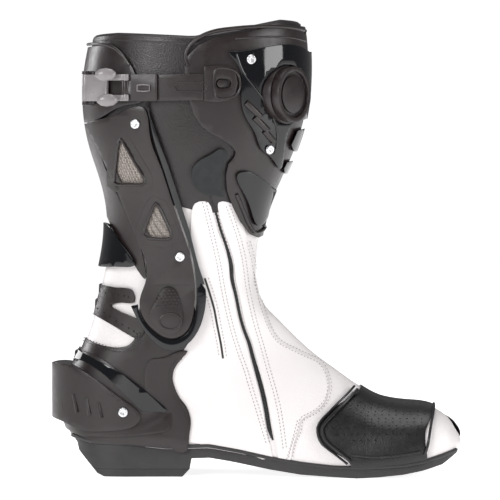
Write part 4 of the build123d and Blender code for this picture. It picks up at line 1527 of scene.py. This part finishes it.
TOE_FRONT = [
    (220.7, 54.3), (218.4, 46.7), (216.1, 36.7), (213.8, 25.2), (211.5, 18.4),
]
TOE_CREASE = [
    (157.2, 17.6), (174, 16.1), (191.6, 17.6), (209.2, 20.7),
]
TOE_FIELD = [
    (158.7, 57.4), (146.5, 49.7), (137.3, 40.5), (138.8, 32.9), (153.4, 28.3), (180.2, 28.3),
    (206.9, 29.8), (216.9, 40.5), (218.4, 51.3), (195.5, 54.3), (172.5, 58.9),
]
FRAME_FLANGE = [
    (4.2, 88), (16.4, 91), (27.2, 95.6), (33.3, 95.6), (27.2, 88), (23.3, 81.9),
    (22.2, 74.2), (26.4, 62), (32.9, 52.8), (36, 42.8), (34.8, 31.4), (32.9, 20.7),
    (24.1, 20.7), (15.7, 31.4), (5.7, 46.7), (1.1, 68.1),
]
FLANGE_ROW = [
    (27.9, 91.8), (21, 84.2), (19.1, 74.2), (23.3, 61.2), (29.5, 51.3), (32.7, 42.1),
    (31.7, 32.1), (30.2, 22.9),
]
ACHILLES_HOLES = [
    (-31.7, 139.2), (-27.2, 138.5), (-22.6, 138.1), (-18, 137.7), (-13.4, 136.9),
    (-10.3, 136.2), (-34.8, 132.3), (-33.3, 126.2), (-28.7, 123.5), (-24.1, 120.9),
    (-19.5, 117.8), (-14.9, 115.1), (-10.3, 112.5), (-6.5, 110.2),
]
ACHILLES = [
    (-40.9, 129.3), (-37.1, 139.2), (-33.3, 143.8), (-21, 143.1), (-8, 141.5), (-6.5, 132.3),
    (-17.2, 131.6), (-24.1, 129.3), (-18, 125.5), (-10.3, 122.4), (-2.7, 118.6),
    (1.1, 109.4), (-4.2, 104.8), (-12.6, 108.6), (-21.8, 114), (-31.7, 119.3),
    (-40.9, 123.9),
]
HEEL_BAND = [
    (-52.4, 97.2), (-46.3, 93.3), (-31, 86.4), (-17.2, 79.6), (-3.4, 69.6), (8, 60.4),
    (18, 50.5), (8.8, 49.7), (-0.4, 50.5), (-9.6, 58.9), (-20.3, 69.6), (-31.7, 79.6),
    (-43.2, 85.7), (-56.2, 88.7),
]
FRAME_LIP = [
    (-47.8, 104.8), (-40.9, 102.5), (-31, 99.5), (-21, 97.2), (-12.6, 97.2), (-6.5, 100.2),
    (-4.2, 105.6), (-4.2, 110.2),
]
PAD_FIELD = [
    (18.7, 145.3), (13.4, 140), (9.6, 132.3), (10.3, 127.8), (19.5, 128.5), (28.7, 127.8),
    (27.9, 136.2), (24.9, 143.1),
]
CUFF_LIP = [
    (-39.4, 326.7), (-31, 326.7), (-22.6, 325.1), (-17.2, 322.1), (-12.6, 317.5),
    (-8, 310.6),
]
FLAP_EDGE = [
    (34.8, 309.8), (32.5, 317.5), (35.6, 325.1), (42.5, 331.2), (53.2, 335.8), (67.7, 338.1),
    (89.9, 339.7), (111.3, 338.9), (121.3, 336.6),
]
FLAP_GROOVE = [
    (68.5, 330.5), (80.7, 331.2), (96, 332), (111.3, 331.2), (121.3, 328.9),
]
GLOSS_BEAD = [
    (69.2, 319), (73.8, 306), (84.5, 290.7), (92.9, 276.9), (96.8, 264.7), (96.8, 252.5),
    (95.2, 245.6),
]
WINDOW_LIP = [
    (70, 225.7), (74.6, 229.5), (82.2, 227.2), (91.4, 221.1), (97.5, 215.7), (96, 205.8),
    (91.4, 195.1), (87.6, 187.4), (82.2, 185.1), (77.6, 192), (73.1, 204.3), (69.2, 215),
]
STRAP_LINE = [
    (27.2, 297.6), (37.1, 297.6), (47, 297.6), (49, 294.5), (47, 291.5), (37.1, 291.5),
    (27.2, 291.5), (25.2, 294.5),
]
CLIP_EDGE = [
    (54.7, 307.5), (62.3, 308.3), (68.5, 306), (71.5, 300.6), (71.5, 293), (68.5, 288.4),
    (62.3, 286.1), (54.7, 286.9), (53.2, 293), (53.2, 301.4),
]
LOBES = [
    (-27.2, 303.7), (-26, 284.6),
]
TONGUE_WINDOW = [
    (-3.4, 295.7), (1.1, 296.1), (5.7, 295.7), (5.7, 291.5), (1.1, 291.1), (-3.4, 291.5),
]

FLOOR = Finish(Slot.WHITE, (0.93, 0.93, 0.93), (0.95, 0.95, 0.95), 0.55, 0.05, 300, 0.00002,
               glow=0.84)

FOOT_PARTS = HardParts("foot", [
    ("outsole", RUBBER, 0.8), ("heel_lift", RUBBER, 0.5), ("toe_pad", PAD_LEATHER, 0.5),
    ("toe_slider", MATT, 0.6), ("toe_slider_screws", STEEL, 0.2), ("ankle_frame", MATT, 0.5),
    ("heel_cup", MATT, 0.5),
    ("heel_guard", MATT, 0.6), ("heel_guard_screws", STEEL, 0.2), ("pivot_bases", MATT, 0.4),
    ("pivot_pins", STEEL, 0.3)])
SHAFT_PARTS = HardParts("shaft", [
    ("calf_cuff", MATT, 0.6), ("rear_guard", MATT, 0.6), ("rear_gloss", GLOSS, 0.4),
    ("brace_medial", MATT, 0.5), ("brace_lateral", MATT, 0.5), ("rail_medial", GLOSS, 0.5),
    ("rail_lateral", GLOSS, 0.5), ("vent_mesh", MESH_CLOTH, 0.0), ("ankle_pads", MATT, 0.5),
    ("brace_screws", STEEL, 0.2), ("buckle_base", MATT, 0.4), ("buckle_pin", STEEL, 0.2),
    ("stretch_patch", STRETCH, 0.3)])
LEVER_PARTS = HardParts("lever", [("lever", GREY, 0.4), ("strap_pin", STEEL, 0.2)])
STRAP_PARTS = HardParts("strap", [("tongue", MATT, 0.4), ("strap", MATT, 0.4), ("clip", MATT, 0.5)])
FLAP_PARTS = HardParts("flap", [
    ("flap_leather", SHEEN_LEATHER, 0.6), ("flap_base", MATT, 0.6), ("flap_gloss", GLOSS, 0.5),
    ("flap_window", GLOSS, 0.3), ("flap_screws", STEEL, 0.2), ("shin_pads", GLOSS, 0.4),
    ("flap_fins", MATT, 0.4), ("dial_base", MATT, 0.4), ("flap_catch", MATT, 0.3)])
DIAL_PARTS = HardParts("dial", [("calf_dial", MATT, 0.4)])
KEPT = {finish.slot.value: finish for finish in (
    BOARD, FOAM, LINING, WHITE_TRIM, STEEL, RUBBER, WHITE_LEATHER, BLACK_LEATHER, MATT, GLOSS,
    MESH_CLOTH, GREY, STRETCH)}


def dress_frame(frame: dict) -> None:
    """Puts the real finishes on the frame's own solids.
    """
    for obj in frame["nodes"].values():
        for slot in obj.material_slots:
            finish = KEPT.get(slot.material.name.split(".")[0])
            if finish:
                slot.material = finish.build()


def main() -> None:
    """Builds the boot in its studio."""
    logging.basicConfig(level=logging.INFO, format="%(message)s")
    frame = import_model()
    dress_frame(frame)
    form = Form(STATIONS)
    uppers = Uppers()
    uppers.build(form)
    ZipFastener().build(form, frame, uppers)
    Collar().build(form)
    for group in (FOOT_PARTS, SHAFT_PARTS, LEVER_PARTS, STRAP_PARTS, FLAP_PARTS, DIAL_PARTS):
        group.build(frame)
    Trims().build(form)
    Studio().build()


if __name__ == "__main__":
    main()
